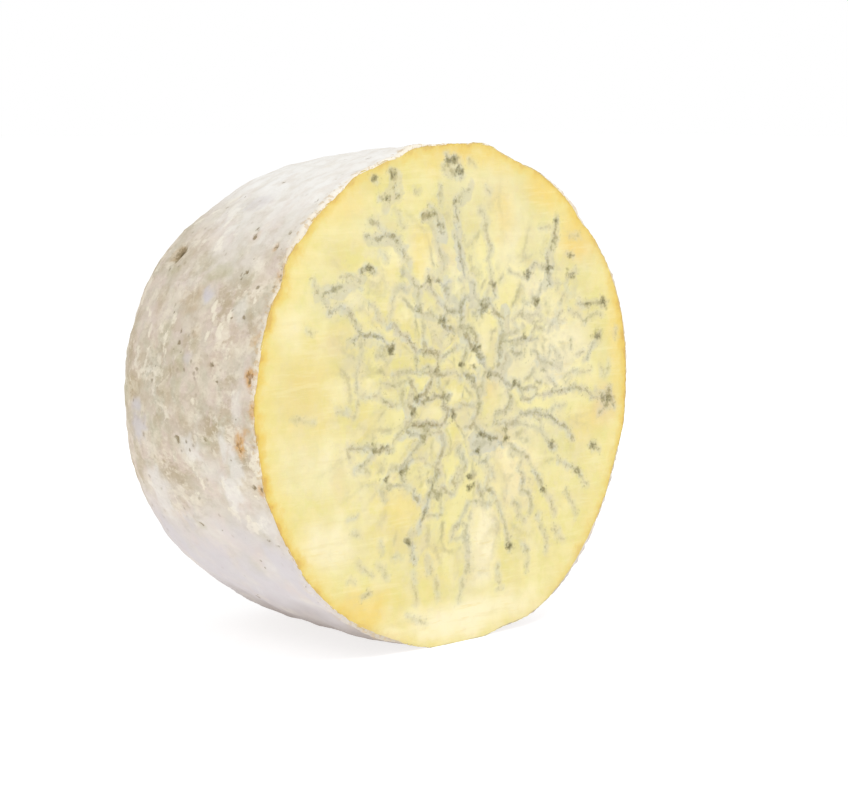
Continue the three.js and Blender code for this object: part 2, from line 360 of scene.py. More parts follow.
# The darkest knots of mould: across, up, radius
KNOTS = (
    (-6, 30.5, 1.6), (11.3, 18.4, 1.5), (16, 33.9, 1.9), (3.4, 13, 1.1), (10.3, 11.3, 1.0),
    (-11, 10.8, 1.4), (-20, 36.3, 1.1), (-13.6, 46.2, 1.0), (21, 43, 1.1), (19.3, 7.5, 1.2),
    (34, 2.4, 1.3), (39, 20.6, 1.5), (-1.6, -6.4, 1.7), (-20.5, 1.7, 1.5), (-16.2, 0, 1.1),
    (-6.2, 0.8, 1.1), (15, -16, 1.6), (20, -17.8, 1.1), (12.3, -22.3, 1.3), (-27.6, -26, 1.3),
    (-37, -28.5, 1.1), (-43.2, -16, 1.1), (-39, -16, 1.1), (-22.5, -4, 1.2), (8.3, -36, 1.2),
    (8.3, -32, 0.9), (-25, -53.6, 1.5), (30.8, -62.3, 1.7), (52.4, 47.6, 1.8), (56.8, 66.8, 1.4),
    (41, 46, 1.7), (66, 45, 1.8), (85, 32.3, 2.0), (76, 32, 1.1), (82, 18.7, 2.0), (88.3, -8, 2.2),
    (-3.4, 91.7, 1.6), (0.8, 91.7, 1.5), (2, 87.5, 1.4), (-32.4, 87, 1.3), (-42, 86, 1.1),
    (-46, 52.2, 1.4), (-36, 78.3, 1.2), (-8, 67.3, 1.0), (0.6, 76, 1.2), (-8.3, 45.6, 1.2),
    (28.6, -15, 1.2), (28.6, -19, 0.9), (55, -23.5, 1.3), (45.5, 34.5, 1.3), (-33.8, 21.2, 0.9),
    (64.8, 53, 1.1), (50.5, -42, 1.2), (71, -36.5, 1.2), (81, -27, 1.3),
)

# Soft bands where the mould has only tinged the paste: how strong, half their width, and their points
TINGES = (
    # The middle
    (0.8, 3.5, (28, 33), (27, 27), (27, 20), (26, 12), (24, 8)),
    (0.7, 3.0, (4, 38), (4, 30), (5, 24), (8, 20)),
    (0.7, 3.0, (10, 44), (10, 36), (14, 34), (18, 37)),
    (0.6, 4.0, (-5, 46), (-4, 40), (0, 36), (4, 34)),
    (0.8, 3.0, (-24, 3), (-25, -4), (-26, -10), (-20, -12)),
    (0.6, 2.5, (-16, -11), (-10, -10), (-5, -7)),
    (0.9, 3.5, (10, -17), (14, -20), (19, -20), (23, -19)),
    (0.6, 3.5, (2, -22), (5, -26), (3, -31), (1, -34)),
    (0.5, 3.0, (10, -24), (14, -28), (18, -32)),
    (0.5, 3.0, (12, 10), (14, 3), (13, -6), (9, -11)),
    (0.5, 2.5, (-9, 18), (-9, 10), (-13, 4)),
    (0.4, 4.0, (-27, 3), (-34, 1), (-42, -2)),
    (0.5, 3.0, (-8, -14), (-7, -20), (-9, -28), (-12, -34), (-15, -42)),
    (0.5, 3.0, (-20, -16), (-26, -21), (-29, -27)),
    (0.5, 2.5, (-38, 24), (-34, 21), (-30, 19)),
    (0.5, 3.0, (30, 16), (36, 18), (42, 20)),
    (0.5, 3.0, (28, 24), (34, 23), (38, 26)),
    (0.4, 4.0, (34, 33), (38, 36), (42, 33)),
    (0.4, 3.5, (44, 36), (46, 44), (42, 48)),
    (0.5, 3.5, (-10, 20), (-6, 24), (0, 27)),
    (0.5, 3.0, (26, 6), (32, 3), (38, 0), (44, -3)),
    (0.4, 3.0, (20, -10), (28, -8), (33, -4)),
    (0.3, 3.0, (24, -20), (32, -24), (42, -30)),
    (0.35, 3.0, (36, -10), (46, -11), (56, -14)),
    (0.4, 3.0, (-30, 9), (-37, 9), (-44, 7)),
    (0.6, 3.5, (-27, 51), (-20, 43), (-19, 34), (-12, 32)),
    (0.7, 4.0, (22, 7), (27, 8), (29, 13)),
    (0.6, 3.5, (46, 10), (53, 9), (60, 8)),
    (0.6, 3.0, (46, 30), (52, 26), (58, 25)),
    (0.5, 3.0, (-56, 25), (-48, 25), (-40, 24), (-35, 18)),
    (0.6, 2.5, (-31, -12), (-24, -11), (-16, -12)),
    (0.5, 3.0, (17, -37), (19, -44)),
    (0.5, 3.0, (-20, -38), (-16, -41)),
    (0.5, 3.0, (-12, -37), (-5, -37), (0, -37)),
    # Round it
    (0.9, 4.5, (-5, 88), (0, 88)),
    (0.9, 4.5, (-32, 87), (-31, 80), (-36, 77)),
    (0.7, 4.0, (-44, 63), (-36, 64), (-29, 60)),
    (0.8, 4.0, (-70, 44), (-64, 45), (-58, 45), (-50, 48)),
    (0.4, 3.0, (-66, 38), (-58, 38), (-52, 33)),
    (0.9, 4.0, (-15, 72), (-9, 69), (-7, 62)),
    (0.5, 4.0, (-9, 58), (-6, 52), (-8, 47)),
    (0.7, 4.0, (3, 76), (8, 80)),
    (0.7, 3.0, (1, 72), (1, 60), (4, 50)),
    (0.5, 3.0, (16, 70), (16, 62), (19, 54)),
    (0.8, 3.5, (57, 64), (54, 54), (52, 42)),
    (0.5, 4.0, (64, 36), (68, 40), (66, 45)),
    (0.4, 4.0, (76, 14), (82, 18)),
    (0.4, 3.0, (55, 25), (60, 30)),
    (0.5, 3.0, (72, 30), (80, 31), (86, 31)),
    (0.7, 4.0, (84, -6), (90, -9)),
    (0.4, 3.0, (60, -2), (72, -2)),
    (0.4, 4.0, (7, -46), (6, -56), (7, -68)),
    (0.35, 4.0, (-22, -66), (-21, -76)),
    (0.4, 4.0, (-57, -14), (-55, -18)),
    (0.3, 5.0, (-42, -60), (-38, -64), (-50, -62)),
    (0.4, 3.0, (22, -40), (27, -48), (30, -60)),
    (0.3, 3.5, (50, -44), (56, -52)),
    (0.3, 3.5, (64, -34), (74, -40)),
)

# Parts of the cut face with few veins: across, up, reach across, reach up, strength
CLEAR_AREAS = (
    (-80, 5, 20, 40, 1.0), (-62, -45, 25, 20, 0.9), (-62, 70, 16, 12, 0.7), (5, -90, 50, 12, 1.0),
    (-58, -5, 9, 10, 0.5), (28, 62, 7, 16, 0.7), (65, 76, 20, 12, 0.8), (-45, -75, 25, 12, 0.7),
    (16, 22, 4, 9, 1.0), (-13, -4, 6, 5, 1.0), (20, 0, 4, 6, 0.9), (-12, 80, 6, 12, 0.6),
    (-22, 56, 6, 10, 0.6), (-29, -42, 9, 10, 1.0), (-45, -6, 9, 6, 0.7), (32, -31, 12, 9, 0.6),
)

# Soft areas of the cut face by their tint: across, up, reach across, reach up, strength
AREAS = {
    "warm": (
        (52, 80, 13, 8, 0.85), (70, 62, 10, 13, 0.85), (-50, -78, 17, 8, 0.8), (94, 25, 6, 24, 0.5),
        (2, 94, 14, 6, 0.3), (22, 93, 15, 6, 0.45), (-60, 76, 12, 6, 0.35), (-30, -42, 12, 13, 0.35),
        (26, 71, 6, 12, 0.5), (-19, 57, 6, 10, 0.45), (-12, 90, 4, 5, 0.35), (-76, 8, 15, 20, 0.25),
        (20, 0, 5, 6, 0.2), (76, -17, 10, 7, 0.4), (30, -32, 14, 14, 0.25),
    ),
    "pale": (
        (8, -87, 38, 8, 0.9), (-33, -90, 10, 5, 0.6), (56, 12, 20, 22, 0.65), (30, -32, 16, 15, 0.75),
        (-62, -20, 12, 12, 0.4), (-12, -5, 7, 4, 0.4), (-68, -49, 15, 11, 0.75), (-84, 32, 9, 7, 0.5),
        (30, 62, 9, 20, 0.4), (16, -60, 9, 18, 0.9), (37, 12, 9, 7, 0.4), (16, 22, 5, 9, 0.3),
        (-55, 73, 12, 9, 0.25), (20, 81, 14, 9, 0.35), (-80, -16, 10, 12, 0.3), (-60, 8, 9, 6, 0.35),
        (45, 40, 8, 5, 0.5), (73, 54, 7, 4, 0.6),
    ),
    "cool": (
        (6, 47, 24, 18, 0.5), (45, 48, 12, 22, 0.4), (30, 70, 16, 18, 0.45), (35, 12, 28, 18, 0.25),
        (58, 16, 20, 12, 0.2), (-38, 63, 15, 9, 0.4), (-60, 42, 15, 10, 0.35), (13, -21, 10, 8, 0.6),
        (75, 53, 10, 8, 0.5), (-47, 25, 12, 8, 0.3), (0, 80, 10, 13, 0.35), (45, -15, 22, 10, 0.3),
        (5, -58, 7, 22, 0.35), (-75, -20, 12, 12, 0.2), (-20, 40, 14, 10, 0.3),
    ),
    "olive": (
        (-22, 6, 21, 20, 0.5), (-12, -34, 15, 15, 0.35), (8, -5, 15, 12, 0.25), (-38, 88, 12, 8, 0.5),
        (-28, -54, 9, 10, 0.4), (68, 40, 9, 18, 0.4), (62, -8, 15, 9, 0.35), (0, 74, 26, 12, 0.5),
        (56, -23, 12, 8, 0.5), (-50, -53, 12, 12, 0.25), (30, -63, 7, 8, 0.4), (80, 18, 12, 14, 0.35),
        (-70, 10, 24, 18, 0.35),
    ),
    "blush": (
        (-62, 27, 9, 6, 0.3), (-61, -28, 4, 9, 0.3), (88, -10, 9, 7, 0.7), (-6, 55, 5, 5, 0.3),
        (-80, 6, 12, 18, 0.2), (72, 57, 7, 4, 0.3), (-14, -62, 6, 8, 0.2), (18, 3, 5, 5, 0.3),
        (0, 95, 14, 4, 0.4),
    ),
}
AREA_SEED = 40

# The web's cells grow and are drawn out beyond this distance from the middle, by this power
WEB_CORE = 20.0
WEB_PULL = 0.5

# How deep the colour is under the rind, by degrees round the cut
RIM_TINTS = (
    (10, 1.0), (30, 0.6), (50, 0.9), (70, 0.6), (90, 0.8), (110, 0.55), (130, 0.75), (150, 0.8),
    (170, 1.0), (190, 1.1), (210, 0.95), (230, 0.7), (245, 0.25), (270, 0.12), (290, 0.1), (315, 0.5),
    (345, 0.85),
)

# How chalky the rind is beside the cut, by degrees round it
RIM_CHALKS = (
    (60, 0.5), (95, 0.9), (125, 0.6), (150, 0.8), (195, 0.6), (203, 0.2), (228, 0.2), (237, 0.5),
    (248, 0.6), (256, 0.3), (300, 0.3),
)

# Ragged oval marks on the rind: degrees round the axis, distance from the cut, half length round
# the drum, half width along it, strength
RIND_MARKS = {
    "stain": (
        (171.5, 3.5, 4.5, 3.0, 1.0), (177.5, 1.0, 3.5, 1.8, 0.8), (185.5, 9.5, 5.0, 3.5, 1.0),
        (182.5, 5.5, 2.0, 2.5, 0.6), (195, 2.0, 2.5, 2.0, 0.7), (163.5, 4.5, 4.0, 2.5, 0.35),
        (143, 10, 2.0, 2.0, 0.5), (139.5, 27, 2.0, 2.0, 0.45), (150, 2.0, 3.0, 2.0, 0.35),
        (141.5, 76.5, 3.5, 4.0, 0.2),
    ),
    "flake": (
        (154.5, 9.5, 3.5, 1.2, 0.9), (158.5, 22, 3.5, 1.6, 0.9), (162, 26.5, 3.5, 2.2, 0.9),
        (156, 33.5, 3.0, 1.8, 1.0), (159, 32, 2.5, 1.4, 0.9), (163, 33, 2.5, 2.0, 0.8),
        (166, 20, 5.0, 3.5, 0.6), (161.5, 75, 4.0, 1.6, 0.7), (168.5, 75, 5.0, 1.4, 0.7),
        (164, 64, 4.0, 1.4, 0.6), (161.5, 31, 2.0, 1.2, 0.6), (166, 42, 2.0, 2.0, 0.5),
        (159.5, 58, 3.5, 2.0, 0.7), (161, 65, 3.0, 2.0, 0.5), (175.5, 12, 5.0, 3.0, 0.6),
        (172, 35, 3.0, 2.5, 0.5), (177, 36, 2.0, 4.0, 0.6), (168, 82, 5.0, 3.0, 0.6),
        (190, 42, 3.0, 2.0, 0.5), (196, 52, 2.0, 3.0, 0.4),
    ),
    "white": (
        (157, 17, 5.0, 4.0, 0.5), (178, 10, 7.0, 3.5, 0.5), (186, 19, 8.0, 3.0, 0.8),
        (190, 14, 8.0, 5.0, 0.8), (196, 20, 9.0, 7.0, 0.8), (204, 8, 8.0, 7.0, 0.6),
        (216, 12, 10, 8.0, 0.6), (200, 71, 12, 7.0, 0.7), (187.5, 40, 6.0, 7.0, 0.7),
        (192, 30, 5.0, 8.0, 0.4),
    ),
    # Lilac-grey patches, laid with the painted shade of the underside in one attribute
    "lilac_and_painted_shade": (
        (153.5, 40, 4.0, 3.5, 0.9), (168, 43, 3.0, 3.0, 0.5), (128, 45, 5.0, 8.0, 0.4),
        (184, 79, 6.0, 7.0, 0.7), (179, 80, 3.0, 6.0, 0.7), (207, 57, 7.0, 5.0, 0.6),
        (220, 48, 16, 14, 0.8),
    ),
    "olive": (
        (148.5, 38, 4.0, 9.0, 0.8), (144, 31, 3.0, 3.0, 0.5), (166, 52.5, 3.0, 4.0, 0.7),
        (174.5, 46.5, 5.0, 2.0, 0.7), (186, 49, 2.5, 3.5, 0.8), (185, 30, 2.0, 2.5, 0.7),
        (206.5, 49.5, 2.5, 3.5, 0.9), (176, 92, 7.0, 9.0, 0.8), (147, 70, 2.0, 5.0, 0.5),
        (153, 75, 4.0, 3.0, 0.4), (183, 63, 8.0, 6.0, 0.4), (207, 12, 6.0, 5.0, 0.6),
        (218, 29, 7.0, 5.0, 0.6), (150, 20, 5.0, 6.0, 0.5), (146, 52, 5.0, 8.0, 0.6),
        (137.5, 30, 2.5, 3.0, 0.6), (168.5, 47, 4.0, 4.0, 0.8), (175.5, 85, 6.0, 6.0, 0.7),
        (165, 40, 3.0, 3.0, 0.5), (162, 62, 5.0, 6.0, 0.5), (172, 58, 4.0, 6.0, 0.5),
        (129, 6, 2.0, 2.0, 0.5), (120.5, 12, 1.6, 2.5, 0.5), (134, 14, 2.0, 3.0, 0.35),
        (125, 16, 2.0, 5.0, 0.3),
    ),
    "brown": (
        (154.5, 50, 6.0, 7.0, 0.7), (141.5, 76.5, 3.5, 3.5, 1.0), (143, 62, 8.0, 12, 0.3),
        (170, 88, 14, 9.0, 0.5), (175.5, 85, 7.0, 6.0, 0.8), (145, 58, 7.0, 9.0, 0.4),
        (155, 72, 6.0, 5.0, 0.4), (162, 41.5, 2.5, 3.0, 0.6), (184, 80, 5.0, 7.0, 0.7),
        (168, 92, 6.0, 6.0, 0.4), (169, 26, 3.0, 4.0, 0.4), (195, 5.5, 2.5, 2.0, 0.5),
    ),
}

# Pits: degrees round the axis, distance from the cut, radius, strength
PITS = (
    (141.5, 76.5, 4.2, 1.2), (143.5, 75.5, 2.6, 1.2), (162, 51.5, 1.4, 0.9), (164.5, 51, 1.6, 0.9),
    (169, 27, 1.4, 0.9), (172.5, 23, 1.4, 0.8), (149, 25, 1.3, 0.8), (148.5, 22, 1.2, 0.8),
    (140, 27.5, 1.6, 0.9), (138, 28.5, 1.2, 0.7), (139.5, 6.5, 1.6, 1.0), (143, 10, 1.7, 1.0),
    (148, 2, 1.4, 0.7), (150, 1, 1.3, 0.7), (185.5, 48.5, 1.8, 0.8), (185, 30, 1.8, 0.8),
    (206.5, 49, 1.8, 0.8), (173, 67, 1.6, 0.6), (194.5, 6, 1.7, 1.0), (195, 2, 1.4, 0.9),
    (189, 16, 1.2, 0.7), (172, 4, 1.5, 0.9), (208.5, 11, 1.4, 0.5), (209.5, 6.5, 1.4, 0.5),
    (121, 11, 1.3, 0.5), (130, 6.5, 1.5, 0.6), (134, 1, 1.3, 0.6), (137.5, 30, 1.6, 0.8),
    (146.5, 12.5, 1.2, 0.7), (148, 2, 1.3, 0.8), (149.5, 1.5, 1.2, 0.7), (150, 24, 1.3, 0.8),
    (159, 21, 1.2, 0.6), (166.5, 48.5, 1.2, 0.7), (166, 54, 1.3, 0.7), (136.5, 5, 1.1, 0.5),
    (145.5, 21, 1.1, 0.5), (142.5, 19, 1.0, 0.5),
)
PIT_COUNT = 150
PIT_SEED = 11

# The side that isn't seen repeats the marks and the pits, turned and moved along
UNSEEN_TURN = 187.0
UNSEEN_MOVE = 6.0

# The camera stands where the photograph was taken from, aimed beside the middle of the cut face
PHOTO_WIDTH_PX = 848
FOCAL_PX = 2400.0
SENSOR_MM = 36.0
AZIMUTH = math.radians(-44.0)
ELEVATION = math.radians(7.0)
CAMERA_DISTANCE = 932.0
AIM_RIGHT = -12.1
AIM_UP = -0.55

# The floor and the lamp, in metres and watts, and the heights between which the light tent darkens
FLOOR_REACH = 12.0
FLOOR_GREY = 0.55
FLOOR_GLOW = 0.67
LAMP_PLACE = (-0.3, -0.8, 1.5)
LAMP_AIM = (0.0, 0.0, 0.1)
LAMP_SIZE = 0.8
LAMP_POWER = 9.0
TENT_LOW = 0.12
TENT_HIGH = 0.4
TENT_TOP = 0.66


def taper_at(y):
    """How far the taper has pulled the side in at a distance along the axis."""
    return TAPER * (y - CUT_Y) / DEPTH


def side_radius(y):
    """The side's radius, including the rounding of the far end."""
    along = np.clip((y - SHOULDER_Y) / SHOULDER_DEPTH, 0, 1)
    return RADIUS - taper_at(y) - SHOULDER_INSET * (1 - np.sqrt(1 - along * along))


def outline_share(angle):
    """The share by which the outline is wider or narrower than a circle."""
    extra = sum(c * np.cos(k * angle) + s * np.sin(k * angle) for k, c, s in OUTLINE_WAVES)
    return 1 + extra / RADIUS


def swell(points):
    """The frame's handmade unevenness, as waves in many directions."""
    total = np.zeros(len(points))
    for i in range(SWELL_COUNT):
        share = (i + 0.5) / SWELL_COUNT
        wavelength = SWELL_LONG * (SWELL_SHORT / SWELL_LONG) ** share
        dir_y = 1 - 2 * share
        level = math.sqrt(1 - dir_y * dir_y)
        turn = i * GOLDEN_ANGLE
        way = points @ np.array((level * math.cos(turn), dir_y, level * math.sin(turn)))
        total += wavelength / SWELL_LONG * np.sin(2 * math.pi * way / wavelength + 2 * turn)
    return total


def fractal(points, size, octaves=3, seed=0.0):
    """Cloudy noise between about -1 and 1, whose largest lumps are the given size apart."""
    shifted = np.asarray(points) / size + seed * 17.3
    return np.array([noise.fractal(p, 1.0, 2.0, octaves) for p in shifted.tolist()])


def ramp(values, low, high):
    """0 below low, 1 above high and a smooth step between them; low may be the larger."""
    t = np.clip((values - low) / (high - low), 0, 1)
    return t * t * (3 - 2 * t)


class Skin:
    """Rings of points about the drum's axis, with the faces that join them."""

    def __init__(self, rings):
        self.rings = rings
        self.segments = 6 * rings
        self.columns = []
        self.faces = []
        self.count = 0

    def add(self, radius, angle, y, outward, endward):
        """Adds points and returns the index of the first."""
        angle = np.atleast_1d(np.asarray(angle, float))
        row = [np.broadcast_to(v, angle.shape) for v in (radius, angle, y, outward, endward)]
        self.columns.append(np.stack(row, 1))
        start = self.count
        self.count += len(angle)
        return start

    def ring(self, radius, y, outward, endward):
        angle = 2 * math.pi * np.arange(self.segments) / self.segments
        return self.add(radius, angle, y, outward, endward)

    def bridge(self, a, b):
        """Joins ring a to ring b; seen from outside, b lies further along the surface."""
        n = self.segments
        for i in range(n):
            j = (i + 1) % n
            self.faces.append((a + i, b + i, b + j, a + j))

    def fan(self, ring, centre, facing_cut):
        n = self.segments
        for i in range(n):
            pair = (ring + i, ring + (i + 1) % n)
            self.faces.append((centre, *pair) if facing_cut else (centre, *reversed(pair)))

    def disc(self, ring, radius_of, y_of, endward, facing_cut):
        """Fills a ring with evenly spaced points. radius_of and y_of take the share of the way out."""
        outer = ring
        for k in range(self.rings - 1, -1, -1):
            share = k / self.rings
            count = max(1, 6 * k)
            angle = 2 * math.pi * np.arange(count) / count
            inner = self.add(radius_of(share), angle, y_of(share), 0.0, endward)
            self._stitch(inner, k, outer, k + 1, facing_cut)
            outer = inner

    def _stitch(self, inner, k, outer, wide, facing_cut):
        inner_count, outer_count = max(1, 6 * k), 6 * wide
        for sector in range(6):
            for i in range(wide):
                a = inner + (sector * k + i) % inner_count
                b = outer + sector * wide + i
                c = outer + (sector * wide + i + 1) % outer_count
                self.faces.append((a, b, c) if facing_cut else (a, c, b))
                if i < k:
                    d = inner + (sector * k + i + 1) % inner_count
                    self.faces.append((a, c, d) if facing_cut else (a, d, c))

    def finish(self):
        """Works out the smooth form and the way out of the solid at each point."""
        table = np.concatenate(self.columns)
        self.radius, self.angle, self.y, self.outward, self.endward = table.T
        cos, sin = np.cos(self.angle), np.sin(self.angle)
        true = np.stack((self.radius * cos, self.y, self.radius * sin), 1)
        wide = outline_share(self.angle)
        bump = swell(true)
        spread = RIND_SWELL * self.outward * bump
        push = np.where(self.endward < 0, CUT_SWELL, RIND_SWELL) * self.endward * bump
        x = true[:, 0] * wide + spread * cos
        z = true[:, 2] * wide + spread * sin - taper_at(self.y)
        self.points = np.stack((x, self.y + push, z), 1)
        self.normals = np.stack((self.outward * cos, self.endward, self.outward * sin), 1)
        self.level_out = np.stack((cos, np.zeros(self.count), sin), 1)


def rim_shift(skin):
    """The dents of the cut's edge, which fade out along the side and across the face."""
    degrees = np.degrees(skin.angle)
    outward = np.zeros(skin.count)
    for middle, reach, half_width in RIM_DENTS:
        away = np.abs((degrees - middle + 180) % 360 - 180)
        outward += reach * ramp(away / half_width, 1.8, 0.0)
    outward *= ramp(skin.y - CUT_Y, RIM_DENT_DEPTH, 0.0) * ramp(skin.radius, 70, 98)
    return outward[:, None] * skin.level_out


def rind_skin():
    """The rind as a thin shell: its inside from the far end to the rim, and its outside back again."""
    skin = Skin(RIND_RINGS)
    centre = skin.add(0.0, 0.0, FAR_Y - RIND_THICKNESS - END_DISH, 0.0, 0.0)
    rows = []
    for y in np.linspace(FAR_Y - RIND_THICKNESS, CUT_Y + INSIDE_BACK, INSIDE_RINGS):
        rows.append(skin.ring(side_radius(y) - RIND_THICKNESS, y, 0.0, 0.0))
    skin.fan(rows[0], centre, facing_cut=True)

    rows.append(skin.ring(RADIUS - RIND_THICKNESS, CUT_Y + LIP_ROOT_BACK, 0.0, -1.0))
    for inward in LIP_INSETS:
        rows.append(skin.ring(RADIUS - inward, CUT_Y + LIP_BACK, 0.0, -1.0))
    for turn in np.linspace(0, math.pi / 2, RIM_STEPS):
        inward = RIM_ROUND * (1 - math.sin(turn))
        back = RIM_ROUND * (1 - math.cos(turn))
        rows.append(skin.ring(RADIUS - inward, CUT_Y + back, math.sin(turn), -math.cos(turn)))
    side_start = CUT_Y + RIM_ROUND
    steps = round((SHOULDER_Y - side_start) / SIDE_STEP)
    for y in np.linspace(side_start, SHOULDER_Y, steps + 1)[1:]:
        rows.append(skin.ring(side_radius(y), y, 1.0, 0.0))
    for turn in shoulder_turns():
        y = SHOULDER_Y + SHOULDER_DEPTH * math.sin(turn)
        rows.append(skin.ring(side_radius(y), y, math.cos(turn), math.sin(turn)))
    for a, b in zip(rows, rows[1:]):
        skin.bridge(a, b)

    end_radius = float(side_radius(FAR_Y))
    skin.disc(
        rows[-1],
        lambda share: share * end_radius,
        lambda share: FAR_Y - END_DISH * (1 - share * share) ** 2,
        endward=1.0,
        facing_cut=False,
    )
    skin.finish()
    return skin


def shoulder_turns():
    """Turns round the shoulder's quarter ellipse that leave equal steps along its surface."""
    turns = np.linspace(0, math.pi / 2, 400)
    ys = SHOULDER_Y + SHOULDER_DEPTH * np.sin(turns)
    lengths = np.hypot(np.diff(ys), np.diff(side_radius(ys)))
    travelled = np.concatenate(((0.0,), np.cumsum(lengths)))
    steps = round(travelled[-1] / SIDE_STEP)
    return np.interp(np.linspace(0, travelled[-1], steps + 1)[1:], travelled, turns)


def paste_skin():
    """The paste: the fine cut face, and a plain body hidden in the rind."""
    skin = Skin(PASTE_RINGS)
    edge = RADIUS - RIND_EDGE
    rim = skin.ring(edge, CUT_Y, 0.0, -1.0)
    skin.disc(rim, lambda share: share * edge, lambda share: CUT_Y, endward=-1.0, facing_cut=True)
    rows = [rim]
    for y, depth in ((CUT_Y + 0.7, 0.6), (CUT_Y + 3.0, PASTE_DEPTH), (SHOULDER_Y, PASTE_DEPTH)):
        rows.append(skin.ring(side_radius(y) - depth, y, 0.0, 0.0))
    for y in SHOULDER_Y + (SHOULDER_DEPTH - PASTE_DEPTH) * np.array(HIDDEN_SHARES):
        rows.append(skin.ring(side_radius(y) - PASTE_DEPTH, y, 0.0, 0.0))
    for a, b in zip(rows, rows[1:]):
        skin.bridge(a, b)
    centre = skin.add(0.0, 0.0, FAR_Y - PASTE_DEPTH - END_DISH, 0.0, 0.0)
    skin.fan(rows[-1], centre, facing_cut=False)
    skin.finish()
    return skin


def own_frame_origin():
    """Where the row frame's origin lies in the drum's own frame, from the frame's box."""
    low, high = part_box("cheese")
    probe = rind_skin().points
    middle = (probe.min(0) + probe.max(0)) / 2
    height = probe[:, 2].min() + PATCH_DEPTH
    return np.array((middle[0], middle[1], height)) - np.array(
        ((low.x + high.x) / 2 / MM, (low.y + high.y) / 2 / MM, 0.0)
    )


def flat_points(across, up):
    """Points of the flat cut face, from distances to the right of its middle and up."""
    return np.stack((across, up, np.zeros_like(across)), 1)


def bend(across, up, size, reach, seed):
    """Points of the cut face moved about a little, so that straight runs wander."""
    flat = flat_points(across, up)
    return across + reach * fractal(flat, size, 2, seed), up + reach * fractal(flat, size, 2, seed + 1)


def runs(path):
    return zip(path, path[1:])


def distance_to_run(across, up, start, end):
    dx, dy = end[0] - start[0], end[1] - start[1]
    along = ((across - start[0]) * dx + (up - start[1]) * dy) / (dx * dx + dy * dy)
    along = np.clip(along, 0, 1)
    return np.hypot(across - start[0] - along * dx, up - start[1] - along * dy)


def distance_to(across, up, point):
    return np.hypot(across - point[0], up - point[1])


def joining_veins():
    """Faint veins that join each vein's ends to the nearest point of another."""
    points = [(i, point) for i, (_, _, *path) in enumerate(VEINS) for point in path]
    joins = []
    for i, (_, _, *path) in enumerate(VEINS):
        for tip in (path[0], path[-1]):
            others = [(math.dist(tip, point), point) for j, point in points if j != i]
            length, nearest = min(others)
            if JOIN_SHORTEST < length < JOIN_LONGEST and math.hypot(*tip) < JOIN_REACH:
                joins.append((JOIN_STRENGTH, JOIN_WIDTH, tip, nearest))
    return joins


def vein_fields(across, up):
    """For points of the cut face: millimetres outside the nearest vein, and how dark it is."""
    uneven = np.maximum(0.75 + 0.9 * fractal(flat_points(across, up), 4.0, 2, 5), 0.25)
    uneven *= 1 - 0.25 * ramp(np.hypot(across, up), 30, 55)
    across, up = bend(across, up, 9.0, WOBBLE, 1)
    across, up = bend(across, up, 2.4, FINE_WOBBLE, 3)
    gap = np.full(len(across), FAR_FROM_VEINS)
    power = np.zeros(len(across))
    for strength, width, *path in (*VEINS, *joining_veins()):
        tip_gap = np.minimum(distance_to(across, up, path[0]), distance_to(across, up, path[-1]))
        half_width = VEIN_SHARE * width * uneven * (0.7 + 0.3 * ramp(tip_gap, 0.0, 3.0))
        for start, end in runs(path):
            away = distance_to_run(across, up, start, end) - half_width
            nearer = away < gap
            gap[nearer] = away[nearer]
            power[nearer] = strength
    return gap, power


def tinge_field(across, up):
    """How strongly the mould tinges each point of the cut face, from 0 to 1."""
    across, up = bend(across, up, 8.0, 2.0, 7)
    across, up = bend(across, up, 2.5, 0.9, 9)
    tinge = np.zeros(len(across))
    for strength, reach, *path in TINGES:
        for start, end in runs(path):
            away = distance_to_run(across, up, start, end)
            tinge = np.maximum(tinge, strength * ramp(away, reach * 1.35, reach * 0.25))
    return tinge


def knot_field(across, up):
    """How deep inside a knot of mould a point of the cut face is, from 0 to 1."""
    ragged = 2.0 * fractal(flat_points(across, up), 2.2, 3, 6)
    depth = np.zeros(len(across))
    for x, y, radius in KNOTS:
        away = np.hypot((across - x) * 0.8, up - y) + ragged
        depth = np.maximum(depth, ramp(away, radius * 1.6, radius * 0.2))
    return depth


def area_share(across, up, areas, seed):
    """How strongly each point of the cut face lies in one of a list of soft areas."""
    ragged = 0.4 * fractal(flat_points(across, up), 10.0, 3, seed)
    share = np.zeros(len(across))
    for x, y, reach_across, reach_up, strength in areas:
        away = np.hypot((across - x) / reach_across, (up - y) / reach_up) + ragged
        share = np.maximum(share, strength * ramp(away, 1.6, 0.25))
    return share


def veined_share(across, up):
    """How much fine mould a point of the cut face may have, from 0 to 1."""
    reach = np.hypot(across, up - 4) + 9 * fractal(flat_points(across, up), 18, 3, 47)
    return ramp(reach, 92, 40) * (1 - area_share(across, up, CLEAR_AREAS, 48))


def round_the_rim(angle, stations):
    """A share that changes smoothly with the angle, from a list of degrees and shares."""
    degrees, shares = np.array(stations).T
    return np.interp(np.degrees(angle), degrees, shares, period=360)


def spot_points(degrees, along):
    """The place on the rind's smooth form nearest to an angle and a distance from the cut."""
    angle = math.radians(degrees)
    y = CUT_Y + along
    radius = float(side_radius(y))
    x = radius * math.cos(angle) * outline_share(angle)
    z = radius * math.sin(angle) * outline_share(angle) - taper_at(y)
    return np.array((x, y, z))


